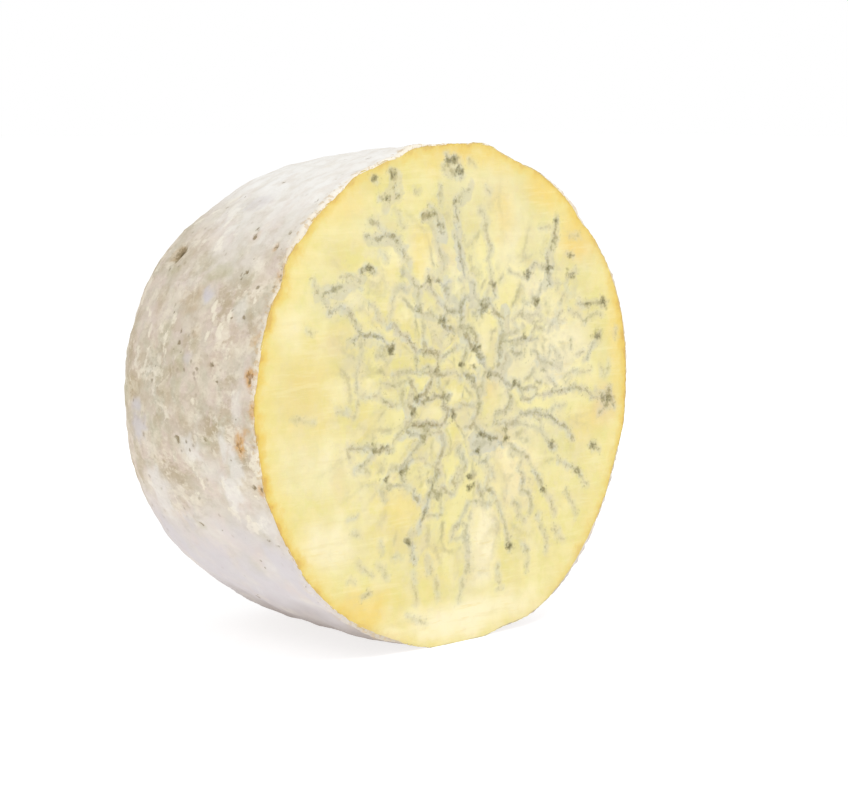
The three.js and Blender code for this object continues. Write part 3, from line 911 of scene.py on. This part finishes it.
def pit_fields(skin, outside):
    """How far inside a pit each point is, from 0 to 1, and how deep it lies there."""
    rng = np.random.default_rng(PIT_SEED)
    shell = np.flatnonzero(outside)
    tree = kdtree.KDTree(len(shell))
    for i in shell:
        tree.insert(skin.points[i], int(i))
    tree.balance()
    spots = []
    for degrees, along, radius, strength in PITS:
        spots.append((spot_points(degrees, along), radius, strength))
        spots.append((spot_points(degrees + UNSEEN_TURN, along + UNSEEN_MOVE), radius, strength))
    crowding = fractal(skin.points[shell], 30, 2, 36)
    odds = ramp(crowding, -0.35, 0.5) + 0.08
    chosen = rng.choice(shell, PIT_COUNT, replace=False, p=odds / odds.sum())
    for i in chosen:
        spots.append((skin.points[i], 0.5 + 1.1 * rng.random() ** 2, 0.3 + 0.6 * rng.random()))
    inside = np.zeros(skin.count)
    depth = np.zeros(skin.count)
    for place, radius, strength in spots:
        stretch = 0.75 + 0.25 * rng.random()
        for _, index, distance in tree.find_range(Vector(place), radius * 1.8):
            share = float(ramp(np.array(distance / radius * stretch), 1.25, 0.2))
            inside[index] = max(inside[index], share * min(1.0, 0.45 + strength * 0.5))
            depth[index] = max(depth[index], share * strength * radius * 0.45)
    return inside, depth


def mark_share(skin, spots):
    """How strongly each point lies in one of a list of ragged oval marks."""
    ragged = 0.5 * fractal(skin.points, 3.2, 3, 37)
    degrees = np.degrees(skin.angle)
    along = skin.y - CUT_Y
    share = np.zeros(skin.count)
    for middle, place, half_round, half_along, strength in spots:
        for turn, move in ((0.0, 0.0), (UNSEEN_TURN, UNSEEN_MOVE)):
            turned = (degrees - middle - turn + 180) % 360 - 180
            arc = np.radians(turned) * skin.radius
            away = np.hypot(arc / half_round, (along - place - move) / half_along) + ragged
            share = np.maximum(share, strength * ramp(away, 1.35, 0.4))
    return share


def tan_share(skin):
    """Where the rind is old and tan: in clouds on the side, less above and below."""
    height = skin.points[:, 2] + 14 * fractal(skin.points, 26, 3, 43)
    side = ramp(height, 92, 45) * ramp(height, -62, -25)
    clouds = ramp(fractal(skin.points, 40, 4, 38), -0.5, 0.5)
    return np.clip((0.35 + 0.65 * clouds) * (0.05 + 0.95 * side), 0, 1)


def bloom_share(skin):
    """White bloom, thickest above."""
    clouds = ramp(fractal(skin.points, 34, 4, 39), -0.1, 0.6)
    height = skin.points[:, 2] + 8 * fractal(skin.points, 20, 2, 44)
    return np.clip(0.2 * clouds + 0.95 * ramp(height, 50, 92), 0, 1)


def painted_shade_share(skin):
    """Painted shade: a cold grey, where the side turns under."""
    return 0.8 * ramp(skin.points[:, 2] + 14 * fractal(skin.points, 28, 3, 42), -26, -62)


def to_mesh(name, skin, points, material):
    """A mesh object in the row frame, from points of the drum's own frame."""
    placed = (points - origin) * MM
    placed[:, 2] = np.maximum(placed[:, 2], 0.0)
    mesh = bpy.data.meshes.new(name)
    mesh.from_pydata(placed.tolist(), [], skin.faces)
    mesh.shade_smooth()
    mesh.materials.append(material)
    piece = bpy.data.objects.new(name, mesh)
    bpy.context.scene.collection.objects.link(piece)
    return piece


def keep(piece, fields):
    """Stores numbers for each vertex under their names, for the material to read."""
    for name, values in fields.items():
        attribute = piece.data.attributes.new(name, "FLOAT", "POINT")
        attribute.data.foreach_set("value", np.asarray(values, np.float32))


def linear(red, green, blue):
    """A colour given as it shows on a screen, 0 to 255, for a shader."""
    shares = (np.array((red, green, blue)) / 255.0).tolist()
    light = [c / 12.92 if c <= 0.04045 else ((c + 0.055) / 1.055) ** 2.4 for c in shares]
    return (*light, 1.0)


class Graph:
    """A material's nodes, written as plain calls that return sockets.

    Colours are given as they show on a screen, 0 to 255. The seed in a call picks its pattern.
    """

    def __init__(self, name):
        self.material = bpy.data.materials.new(name)
        self.material.use_nodes = True
        self.tree = self.material.node_tree
        self.shader = self.tree.nodes["Principled BSDF"]
        self.place = self.node("ShaderNodeTexCoord").outputs["Object"]
        self.colour = None

    def node(self, kind, **settings):
        made = self.tree.nodes.new(kind)
        for key, value in settings.items():
            setattr(made, key, value)
        return made

    def put(self, socket, value):
        if isinstance(value, bpy.types.NodeSocket):
            self.tree.links.new(value, socket)
        else:
            socket.default_value = value

    def attribute(self, name):
        return self.node("ShaderNodeAttribute", attribute_name=name).outputs["Fac"]

    def math(self, operation, a, b):
        made = self.node("ShaderNodeMath", operation=operation)
        self.put(made.inputs[0], a)
        self.put(made.inputs[1], b)
        return made.outputs[0]

    def times(self, product, *others):
        for other in others:
            product = self.math("MULTIPLY", product, other)
        return product

    def plus(self, a, b):
        return self.math("ADD", a, b)

    def scaled(self, value, factor, offset):
        return self.plus(self.times(value, factor), offset)

    def frayed(self, value, reach, cloud):
        """A value moved up and down by noise, so that an edge made from it is ragged."""
        return self.plus(value, self.times(self.math("SUBTRACT", cloud, 0.5), reach))

    def ramp(self, value, low, high, bottom=0.0, top=1.0):
        """A smooth step from bottom at low to top at high; low may be the larger."""
        made = self.node("ShaderNodeMapRange", interpolation_type="SMOOTHSTEP")
        self.put(made.inputs["Value"], value)
        made.inputs["From Min"].default_value = min(low, high)
        made.inputs["From Max"].default_value = max(low, high)
        made.inputs["To Min"].default_value = bottom if low < high else top
        made.inputs["To Max"].default_value = top if low < high else bottom
        return made.outputs["Result"]

    def mix(self, share, a, b):
        made = self.node("ShaderNodeMix", data_type="RGBA")
        self.put(made.inputs["Factor"], share)
        for name, colour in (("A", a), ("B", b)):
            self.put(made.inputs[name], linear(*colour) if isinstance(colour, tuple) else colour)
        return made.outputs["Result"]

    def paint(self, share, colour):
        """Lays a colour over the material's colour so far."""
        self.colour = self.mix(share, self.colour, colour)

    def where(self, size, seed, stretch, place=None):
        """A place in steps of a size in millimetres; stretch lengthens the pattern."""
        made = self.node("ShaderNodeMapping")
        self.put(made.inputs["Vector"], place or self.place)
        made.inputs["Location"].default_value = (seed * 7.1, seed * 3.7, seed * 5.3)
        made.inputs["Scale"].default_value = [1 / (size * MM * s) for s in stretch]
        return made.outputs["Vector"]

    def cloud(self, size, seed, detail=3.0, roughness=0.5, stretch=(1, 1, 1)):
        """Cloudy noise from 0 to 1, mostly near the middle."""
        made = self.node("ShaderNodeTexNoise")
        self.put(made.inputs["Vector"], self.where(size, seed, stretch))
        made.inputs["Scale"].default_value = 1.0
        made.inputs["Detail"].default_value = detail
        made.inputs["Roughness"].default_value = roughness
        return made.outputs["Fac"]

    def cells(self, feature, size, seed, stretch=(1, 1, 1), place=None, bend=0.9):
        """Cells of a size in millimetres, with crooked edges."""
        shift = self.node("ShaderNodeTexNoise")
        self.put(shift.inputs["Vector"], self.where(size, seed + 0.5, stretch, place))
        shift.inputs["Scale"].default_value = 1.3
        bent = self.node("ShaderNodeVectorMath", operation="MULTIPLY_ADD")
        self.put(bent.inputs[0], shift.outputs["Color"])
        bent.inputs[1].default_value = (bend, bend, bend)
        self.put(bent.inputs[2], self.where(size, seed, stretch, place))
        made = self.node("ShaderNodeTexVoronoi", feature=feature)
        self.put(made.inputs["Vector"], bent.outputs[0])
        made.inputs["Scale"].default_value = 1.0
        return made

    def tones(self, cells):
        """Two unlike numbers from 0 to 1 for each cell."""
        split = self.node("ShaderNodeSeparateColor")
        self.put(split.inputs["Color"], cells.outputs["Color"])
        return split.outputs["Red"], split.outputs["Green"]

    def web(self, size, seed):
        """Crooked cells drawn out away from the middle: the distance to their edges, and two tones."""
        pulled = self.node("ShaderNodeCombineXYZ")
        self.put(pulled.inputs["X"], self.attribute("web_across"))
        self.put(pulled.inputs["Y"], self.attribute("web_up"))
        shape = {"place": pulled.outputs[0], "bend": 0.45}
        edge = self.cells("DISTANCE_TO_EDGE", size, seed, **shape)
        return (edge.outputs["Distance"], *self.tones(self.cells("F1", size, seed, **shape)))

    def finish(self, height, depth, settings):
        """Joins up the colour, a bump as deep as depth in millimetres, and the shader's settings."""
        bump = self.node("ShaderNodeBump")
        bump.inputs["Distance"].default_value = depth * MM
        self.put(bump.inputs["Height"], height)
        self.put(self.shader.inputs["Normal"], bump.outputs["Normal"])
        self.put(self.shader.inputs["Base Color"], self.colour)
        for name, value in settings.items():
            self.put(self.shader.inputs[name], value)
        return self.material


def paste_material():
    graph = Graph("paste")
    gap, power, knot = map(graph.attribute, ("vein_gap", "vein_power", "knot"))
    rim, rim_tint = map(graph.attribute, ("rim_gap", "rim_tint"))
    cool, pale, veined = map(graph.attribute, ("cool", "pale", "veined"))

    # The paste itself: soft clouds of two yellows with a faint mottle of curd
    clouds = graph.ramp(graph.cloud(24, 1), 0.38, 0.64)
    graph.colour = graph.mix(clouds, (235, 223, 160), (229, 215, 144))
    graph.paint(graph.ramp(graph.cloud(7, 2), 0.42, 0.6, top=0.5), (223, 215, 136))
    mottle = graph.ramp(graph.cloud(8, 15, 3, 0.55), 0.46, 0.62, top=0.5)
    graph.paint(graph.times(mottle, graph.ramp(rim, 8.0, 35.0, bottom=0.2)), (233, 221, 180))

    # Its broad areas, the pale ones streaked, and lumps of lighter and darker curd
    graph.paint(graph.attribute("olive"), (215, 206, 138))
    graph.paint(cool, (220, 215, 178))
    graph.paint(pale, (246, 236, 200))
    streaks = graph.ramp(graph.cloud(2.2, 14, 3, 0.6, stretch=(7, 1, 1)), 0.55, 0.7)
    graph.paint(graph.times(streaks, pale), (237, 221, 162))
    graph.paint(graph.attribute("blush"), (226, 199, 150))
    graph.paint(graph.attribute("warm"), (236, 206, 116))
    blotch = graph.ramp(graph.cloud(3.6, 24, 4, 0.6), 0.54, 0.68, top=0.45)
    graph.paint(graph.times(blotch, graph.scaled(veined, 0.7, 0.3)), (219, 204, 168))
    lumps = graph.cloud(12, 41, 3, 0.55)
    share = graph.scaled(veined, 0.45, 0.15)
    graph.paint(graph.times(graph.ramp(lumps, 0.52, 0.66), share), (245, 236, 184))
    graph.paint(graph.times(graph.ramp(lumps, 0.48, 0.35), share), (216, 203, 154))

    # The knife's drag: faint level streaks, lighter and darker
    drag = graph.cloud(2.6, 48, 4, 0.65, stretch=(8, 1, 1))
    graph.paint(graph.ramp(drag, 0.5, 0.68, top=0.22), (247, 237, 190))
    graph.paint(graph.ramp(drag, 0.47, 0.32, top=0.25), (222, 206, 142))

    # Between the veins each cell of the web has a tone of its own, dull or clear
    away, tone, other = graph.web(9.0, 31)
    graph.paint(graph.times(graph.ramp(tone, 0.55, 0.7, top=0.35), veined), (214, 205, 172))
    graph.paint(graph.times(graph.ramp(other, 0.5, 0.6, top=0.5), veined), (236, 226, 152))

    # The edge under the rind, deeper and more orange, most of all on the left
    ragged = graph.frayed(rim, 9.0, graph.cloud(6, 3, 4, 0.6))
    for start, full, top, colour in (
        (13.0, 3.0, 0.4, (237, 213, 122)),
        (5.5, 1.2, 0.85, (229, 196, 92)),
        (2.0, 0.2, 0.6, (207, 162, 86)),
    ):
        graph.paint(graph.times(graph.ramp(ragged, start, full, top=top), rim_tint), colour)

    # Beside the veins the paste is dull, in soft bands that leave clear cells between
    hue = graph.ramp(graph.cloud(9, 18, 2), 0.42, 0.58)
    dull = graph.mix(hue, (208, 200, 171), (200, 194, 163))
    dull = graph.mix(graph.ramp(graph.cloud(5, 20, 2), 0.52, 0.62), dull, (207, 205, 186))
    dull = graph.mix(cool, dull, (202, 201, 187))
    mould = graph.mix(hue, (152, 138, 89), (144, 135, 83))
    mould = graph.mix(cool, mould, (143, 138, 97))
    wander = graph.cloud(3.5, 21, 3, 0.6)
    band = graph.ramp(graph.frayed(gap, 3.0, wander), 2.7, -0.2)
    band = graph.times(band, graph.scaled(power, 0.85, 0.3))
    wide = graph.ramp(graph.frayed(graph.attribute("tinge"), -0.36, wander), 0.3, 0.65, top=0.75)
    band = graph.math("MAXIMUM", band, wide)
    graph.paint(graph.times(band, graph.ramp(rim, 12.0, 50.0, bottom=0.7)), dull)

    # A fine web of crooked lines, drawn out away from the middle, and broken here and there
    away = graph.frayed(away, 0.16, graph.cloud(1.5, 34, 2))
    broken = graph.ramp(graph.cloud(8, 32, 3, 0.6), 0.42, 0.6, bottom=0.4)
    share = graph.times(broken, veined, graph.ramp(gap, 1.0, 4.5, top=0.55))
    graph.paint(graph.times(graph.ramp(away, 0.22, 0.0), share), dull)
    graph.paint(graph.times(graph.ramp(away, 0.1, 0.0, top=0.9), share), mould)

    # The veins: a narrow core of uneven strength, frayed and darker in places
    fringe = graph.frayed(gap, 3.0, graph.cloud(2.0, 5, 3, 0.65))
    fringe = graph.frayed(fringe, 1.2, graph.cloud(0.9, 43, 2))
    patchy = graph.ramp(graph.cloud(4.5, 6, 3, 0.6), 0.4, 0.56, bottom=0.1)
    patchy = graph.math("MAXIMUM", patchy, graph.ramp(rim, 35, 65, 0.1, 0.55))
    line = graph.times(graph.ramp(fringe, 0.9, -0.8), patchy, graph.scaled(power, 0.8, 0.2))
    speckled = graph.ramp(graph.cloud(1.0, 44, 2), 0.35, 0.6, bottom=0.75)
    line = graph.times(line, speckled, graph.ramp(rim, 25, 65, bottom=0.85))
    graph.paint(line, mould)

    # Flecks of mould, in loose clusters and beside the veins
    fleck = graph.ramp(graph.cloud(1.8, 26, 4, 0.65), 0.55, 0.66)
    loose = graph.times(graph.ramp(graph.cloud(9, 27, 3, 0.6), 0.52, 0.62), veined, 0.35)
    beside = graph.times(graph.ramp(gap, 3.5, 0.5, top=0.7), power)
    graph.paint(graph.times(fleck, graph.math("MAXIMUM", loose, beside)), mould)

    # Knots: dark blotches with darker specks in them
    blot = graph.ramp(graph.cloud(1.8, 28, 3, 0.6), 0.36, 0.58, 0.3, 0.85)
    graph.paint(graph.times(knot, blot), (138, 130, 86))
    speck = graph.ramp(graph.cloud(1.3, 7, 3, 0.65), 0.45, 0.6)
    strength = graph.math("MAXIMUM", knot, graph.times(line, graph.ramp(power, 0.4, 0.8, top=0.8)))
    graph.paint(graph.times(speck, strength, 0.65), (98, 93, 56))

    grain = graph.times(graph.cloud(0.9, 10, 4, 0.6), 0.35)
    crumb = graph.times(graph.cloud(3.4, 13, 4, 0.6), 0.65)
    settings = {
        "Roughness": graph.ramp(graph.cloud(3, 9), 0.3, 0.7, 0.5, 0.68),
        "Subsurface Weight": 0.15,
        "Subsurface Radius": (1.0, 0.75, 0.35),
        "Subsurface Scale": 0.003,
        "Specular IOR Level": 0.35,
    }
    return graph.finish(graph.plus(grain, crumb), PASTE_BUMP, settings)


def rind_material():
    graph = Graph("rind")
    pit, tan, bloom, stain = map(graph.attribute, ("pit", "tan", "bloom", "stain"))
    flake, chalk, rim = map(graph.attribute, ("flake", "chalk", "rim_gap"))

    # Broad colour: grey-white, tan where the rind is old, with pinkish and grey-green clouds
    graph.colour = graph.mix(tan, (225, 216, 204), (202, 186, 160))
    graph.paint(graph.ramp(graph.cloud(13, 20), 0.44, 0.6, top=0.55), (222, 204, 193))
    green = graph.ramp(graph.cloud(9, 21, 4, 0.6), 0.47, 0.62, top=0.6)
    graph.paint(graph.times(green, graph.scaled(tan, 0.7, 0.3)), (200, 196, 173))
    graph.paint(graph.times(graph.attribute("olive"), 0.85), (190, 183, 148))
    graph.paint(graph.times(graph.attribute("brown"), 0.85), (196, 174, 142))

    # The crust's mottle, a little drawn out along the drum and smooth in places, and a few cream plates
    smooth = graph.ramp(graph.cloud(12, 38), 0.42, 0.56, bottom=0.45)
    share = graph.times(graph.scaled(tan, 0.75, 0.12), smooth)
    broad = graph.cloud(9, 42, 3, 0.6, ALONG_THE_DRUM)
    tone = graph.cloud(4.2, 22, 3, 0.6, ALONG_THE_DRUM)
    fine = graph.cloud(1.8, 36, 3, 0.6, ALONG_THE_DRUM)
    plates, _ = graph.tones(graph.cells("F1", 3.0, 31, ALONG_THE_DRUM))
    for pattern, start, full, top, colour in (
        (broad, 0.52, 0.62, 1.0, (238, 227, 206)),
        (broad, 0.48, 0.38, 1.0, (184, 168, 137)),
        (tone, 0.5, 0.66, 0.75, (240, 231, 211)),
        (tone, 0.49, 0.35, 0.7, (196, 180, 152)),
        (fine, 0.55, 0.66, 0.55, (243, 233, 215)),
        (fine, 0.43, 0.32, 0.6, (180, 163, 134)),
        (plates, 0.86, 0.9, 0.6, (242, 232, 210)),
    ):
        graph.paint(graph.times(graph.ramp(pattern, start, full, top=top), share), colour)

    # Pale flakes that stand proud, the powdery bloom, and the cold grey underneath, which is painted
    # shade
    edged = graph.frayed(flake, 1.3, graph.cloud(2.0, 47, 4, 0.65))
    graph.paint(graph.ramp(edged, 0.35, 0.8, top=0.85), (242, 233, 212))
    powder = graph.ramp(graph.cloud(7, 24, 4, 0.6), 0.34, 0.6, bottom=0.6)
    graph.paint(graph.times(bloom, powder), (247, 245, 240))
    graph.paint(graph.times(graph.attribute("white"), 0.8), (238, 234, 228))
    # Painted shade: the underside in a cold grey, mixed with the rind's lilac-grey patches
    cast = graph.ramp(graph.cloud(14, 29), 0.3, 0.6, 0.5, 0.95)
    graph.paint(graph.times(graph.attribute("lilac_and_painted_shade"), cast), (208, 203, 208))
    # Painted contact shade: darker grey-brown at the very bottom of the rind, where it meets the floor
    graph.paint(graph.attribute("painted_contact_shade"), (166, 156, 151))

    # The chalky edge beside the cut, jagged and crumbly
    jagged = graph.frayed(rim, 7.0, graph.cloud(2.6, 34, 4, 0.6))
    graph.paint(graph.times(graph.ramp(jagged, 2.4, 0.6, top=0.8), chalk), (243, 233, 211))
    crumb = graph.times(graph.ramp(fine, 0.48, 0.4), chalk, graph.ramp(rim, 5.5, 1.0, top=0.7))
    graph.paint(crumb, (206, 174, 122))

    # Rusty stains, and dirt in the pits
    rust = graph.ramp(graph.cloud(3.2, 25, 4, 0.65), 0.36, 0.6, bottom=0.3)
    graph.paint(graph.times(stain, rust), (215, 169, 108))
    burnt = graph.times(stain, graph.cloud(1.8, 35))
    graph.paint(graph.ramp(burnt, 0.44, 0.58, top=0.8), (156, 118, 72))
    dirt = graph.frayed(pit, 1.5, graph.cloud(1.6, 30, 3, 0.6))
    graph.paint(graph.ramp(dirt, 0.35, 0.85, top=0.85), (138, 122, 90))
    graph.paint(graph.ramp(pit, 0.88, 1.0, top=0.7), (96, 82, 56))

    # Small round pores, in drifts
    pores = graph.cells("F1", 4.5, 45, bend=0.3)
    chance, _ = graph.tones(pores)
    drift = graph.times(graph.ramp(graph.cloud(26, 46, 2), 0.42, 0.58), graph.ramp(chance, 0.3, 0.7))
    pore = graph.times(graph.ramp(pores.outputs["Distance"], 0.24, 0.08), drift, graph.plus(tan, 0.1))
    graph.paint(graph.times(pore, 0.75), (146, 130, 98))

    grain = graph.times(graph.cloud(0.9, 27, 4, 0.65), 0.3)
    knobs = graph.times(graph.cloud(2.5, 28, 4, 0.6, ALONG_THE_DRUM), 0.6)
    height = graph.plus(graph.plus(grain, knobs), graph.times(plates, 0.12))
    height = graph.plus(graph.times(height, graph.attribute("crusty")), graph.times(pore, -0.6))
    return graph.finish(height, RIND_BUMP, {"Roughness": 0.85, "Specular IOR Level": 0.2})


def make_paste():
    skin = paste_skin()
    on_cut = skin.endward < -0.5
    across = skin.points[:, 0]
    up = skin.points[:, 2]
    gap = np.full(skin.count, OFF_THE_CUT)
    power, knot, tinge, relief = np.zeros((4, skin.count))
    gap[on_cut], power[on_cut] = vein_fields(across[on_cut], up[on_cut])
    knot[on_cut] = knot_field(across[on_cut], up[on_cut])
    tinge[on_cut] = tinge_field(across[on_cut], up[on_cut])

    # The knife's cut: soft undulation, crumbly grain, and fissures where the veins run
    face = skin.points[on_cut]
    fissure = ramp(gap[on_cut], 0.6, -0.5) * power[on_cut]
    crumble = ramp(gap[on_cut], 3.0, 0.0) * power[on_cut]
    relief[on_cut] = (
        UNDULATION * fractal(face, 22, 3, 11)
        + GRAIN * fractal(face, 3.0, 3, 12)
        - FISSURE * fissure * (0.8 + 0.6 * fractal(face, 2.5, 2, 13))
        + CRUMBLE * crumble * fractal(face, 1.8, 2, 14)
        - KNOT_HOLLOW * knot[on_cut]
    )
    points = skin.points + relief[:, None] * skin.normals + rim_shift(skin)

    # The very edge is torn a little rather than sharp
    near_edge = ramp(RADIUS - RIND_EDGE - skin.radius, 1.2, 0.0) * on_cut
    torn = near_edge * TORN_EDGE * fractal(skin.points, 2.4, 2, 15)
    points += torn[:, None] * skin.level_out

    piece = to_mesh("cheese_paste", skin, points, paste_material())
    pull = (1 + (across**2 + up**2) / WEB_CORE**2) ** (-WEB_PULL / 2)
    fields = {
        "vein_gap": gap,
        "vein_power": power,
        "knot": knot,
        "tinge": tinge,
        "web_across": across * pull * MM,
        "web_up": up * pull * MM,
        "veined": veined_share(across, up),
        "rim_gap": RADIUS - skin.radius,
        "rim_tint": round_the_rim(skin.angle, RIM_TINTS),
    }
    for seed, (name, areas) in enumerate(AREAS.items(), AREA_SEED):
        fields[name] = area_share(across, up, areas, seed)
    keep(piece, fields)
    return piece


def make_rind():
    skin = rind_skin()
    outside = (skin.outward > 0.02) | (skin.endward > 0.5)
    where = skin.points

    def noisy(size, octaves, seed, stretch=1.0):
        """Noise on the rind's outside; stretch lengthens it round the drum."""
        got = np.zeros(skin.count)
        squeezed = where[outside] * np.array((1 / stretch, 1, 1 / stretch))
        got[outside] = fractal(squeezed, size, octaves, seed)
        return got

    # Lumps, wrinkles that run round the drum, flakes and a knobbly crust, smoother above and below
    marks = {name: mark_share(skin, spots) for name, spots in RIND_MARKS.items()}
    flake = ramp(noisy(6.5, 3, 40, 1.3), 0.18, 0.5) * ramp(noisy(30, 2, 41), -0.1, 0.4)
    flake = np.maximum(flake * 0.7, marks["flake"])
    height = where[:, 2] + 6 * noisy(25, 2, 46)
    crusty = 1 - 0.5 * ramp(height, 45, 85) - 0.6 * ramp(height, -30, -60)
    wrinkled = WRINKLES * noisy(5.0, 3, 31, 1.2) * skin.outward + CRUST * noisy(3.6, 4, 33)
    relief = LUMPS * noisy(18, 3, 32) + wrinkled * crusty + FLAKES * flake
    pits, depth = pit_fields(skin, outside)
    relief -= depth

    # The rim is ragged where the knife left it
    rim_gap = skin.y - CUT_Y
    rim = ramp(rim_gap, 3.0, 0.0) * outside
    relief += RAGGED_RIM * rim * fractal(where, 2.0, 2, 34)
    relief = np.maximum(relief, -PIT_LIMIT)
    points = where + relief[:, None] * skin.normals * outside[:, None] + rim_shift(skin)
    lip = (skin.endward < -0.02) & (skin.radius > RADIUS - LIP_WIDTH)
    points[lip, 1] -= LIP_GRAIN * fractal(where[lip], 1.8, 2, 35)

    piece = to_mesh("cheese_rind", skin, points, rind_material())
    fields = {
        "pit": pits,
        "tan": tan_share(skin),
        "bloom": bloom_share(skin),
        # Painted shade below the side, in a cold grey, joined with the lilac-grey patches
        "lilac_and_painted_shade": np.maximum(painted_shade_share(skin), marks["lilac_and_painted_shade"]),
        # Painted contact shade at the very bottom of the rind
        "painted_contact_shade": ramp(where[:, 2] + 4 * noisy(20, 2, 45), -72, -92),
        "flake": flake,
        "crusty": crusty,
        "rim_gap": rim_gap,
        "chalk": round_the_rim(skin.angle, RIM_CHALKS),
    }
    for name in ("stain", "olive", "brown", "white"):
        fields[name] = marks[name]
    keep(piece, fields)
    return piece


def make_camera():
    back = Vector(
        (
            math.sin(AZIMUTH) * math.cos(ELEVATION),
            -math.cos(AZIMUTH) * math.cos(ELEVATION),
            math.sin(ELEVATION),
        )
    )
    right = Vector((math.cos(AZIMUTH), math.sin(AZIMUTH), 0.0))
    up = back.cross(right)
    face_centre = Vector((np.array((0.0, CUT_Y, 0.0)) - origin) * MM)
    target = face_centre + (right * AIM_RIGHT + up * AIM_UP) * MM
    data = bpy.data.cameras.new("camera")
    data.sensor_width = SENSOR_MM
    data.lens = FOCAL_PX * SENSOR_MM / PHOTO_WIDTH_PX
    data.clip_end = 100.0
    camera = bpy.data.objects.new("camera", data)
    camera.location = target + back * (CAMERA_DISTANCE * MM)
    camera.rotation_euler = back.to_track_quat("Z", "Y").to_euler()
    bpy.context.scene.collection.objects.link(camera)
    bpy.context.scene.camera = camera
    bpy.context.scene.view_settings.view_transform = "Standard"
    bpy.context.scene.view_settings.look = "None"


def make_floor():
    mesh = bpy.data.meshes.new("floor")
    far = FLOOR_REACH
    corners = [(-far, -far, 0), (far, -far, 0), (far, far, 0), (-far, far, 0)]
    mesh.from_pydata(corners, [], [(0, 1, 2, 3)])
    material = bpy.data.materials.new("floor")
    material.use_nodes = True
    shader = material.node_tree.nodes["Principled BSDF"]
    shader.inputs["Base Color"].default_value = (FLOOR_GREY, FLOOR_GREY, FLOOR_GREY, 1.0)
    shader.inputs["Emission Color"].default_value = (1.0, 1.0, 1.0, 1.0)
    shader.inputs["Emission Strength"].default_value = FLOOR_GLOW
    shader.inputs["Roughness"].default_value = 0.9
    shader.inputs["Specular IOR Level"].default_value = 0.0
    mesh.materials.append(material)
    floor = bpy.data.objects.new("floor", mesh)
    bpy.context.scene.collection.objects.link(floor)


def make_lamp():
    data = bpy.data.lights.new("key", "AREA")
    data.shape = "DISK"
    data.size = LAMP_SIZE
    data.energy = LAMP_POWER
    lamp = bpy.data.objects.new("key", data)
    lamp.location = LAMP_PLACE
    lamp.rotation_euler = (Vector(LAMP_PLACE) - Vector(LAMP_AIM)).to_track_quat("Z", "Y").to_euler()
    bpy.context.scene.collection.objects.link(lamp)


def make_tent():
    """A light tent: white at the height of the horizon and softer overhead."""
    world = bpy.data.worlds.new("studio")
    world.use_nodes = True
    nodes, links = world.node_tree.nodes, world.node_tree.links
    split = nodes.new("ShaderNodeSeparateXYZ")
    height = nodes.new("ShaderNodeMapRange")
    links.new(nodes.new("ShaderNodeTexCoord").outputs["Generated"], split.inputs[0])
    links.new(split.outputs["Z"], height.inputs["Value"])
    height.inputs["From Min"].default_value = TENT_LOW
    height.inputs["From Max"].default_value = TENT_HIGH
    height.inputs["To Min"].default_value = 1.0
    height.inputs["To Max"].default_value = TENT_TOP
    links.new(height.outputs["Result"], nodes["Background"].inputs["Strength"])
    nodes["Background"].inputs["Color"].default_value = (1.0, 1.0, 1.0, 1.0)
    bpy.context.scene.world = world


origin = own_frame_origin()
make_camera()
make_floor()
make_lamp()
make_tent()

paste = make_paste()
rind = make_rind()
for piece in (paste, rind):
    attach(piece, "root")
    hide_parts("cheese")
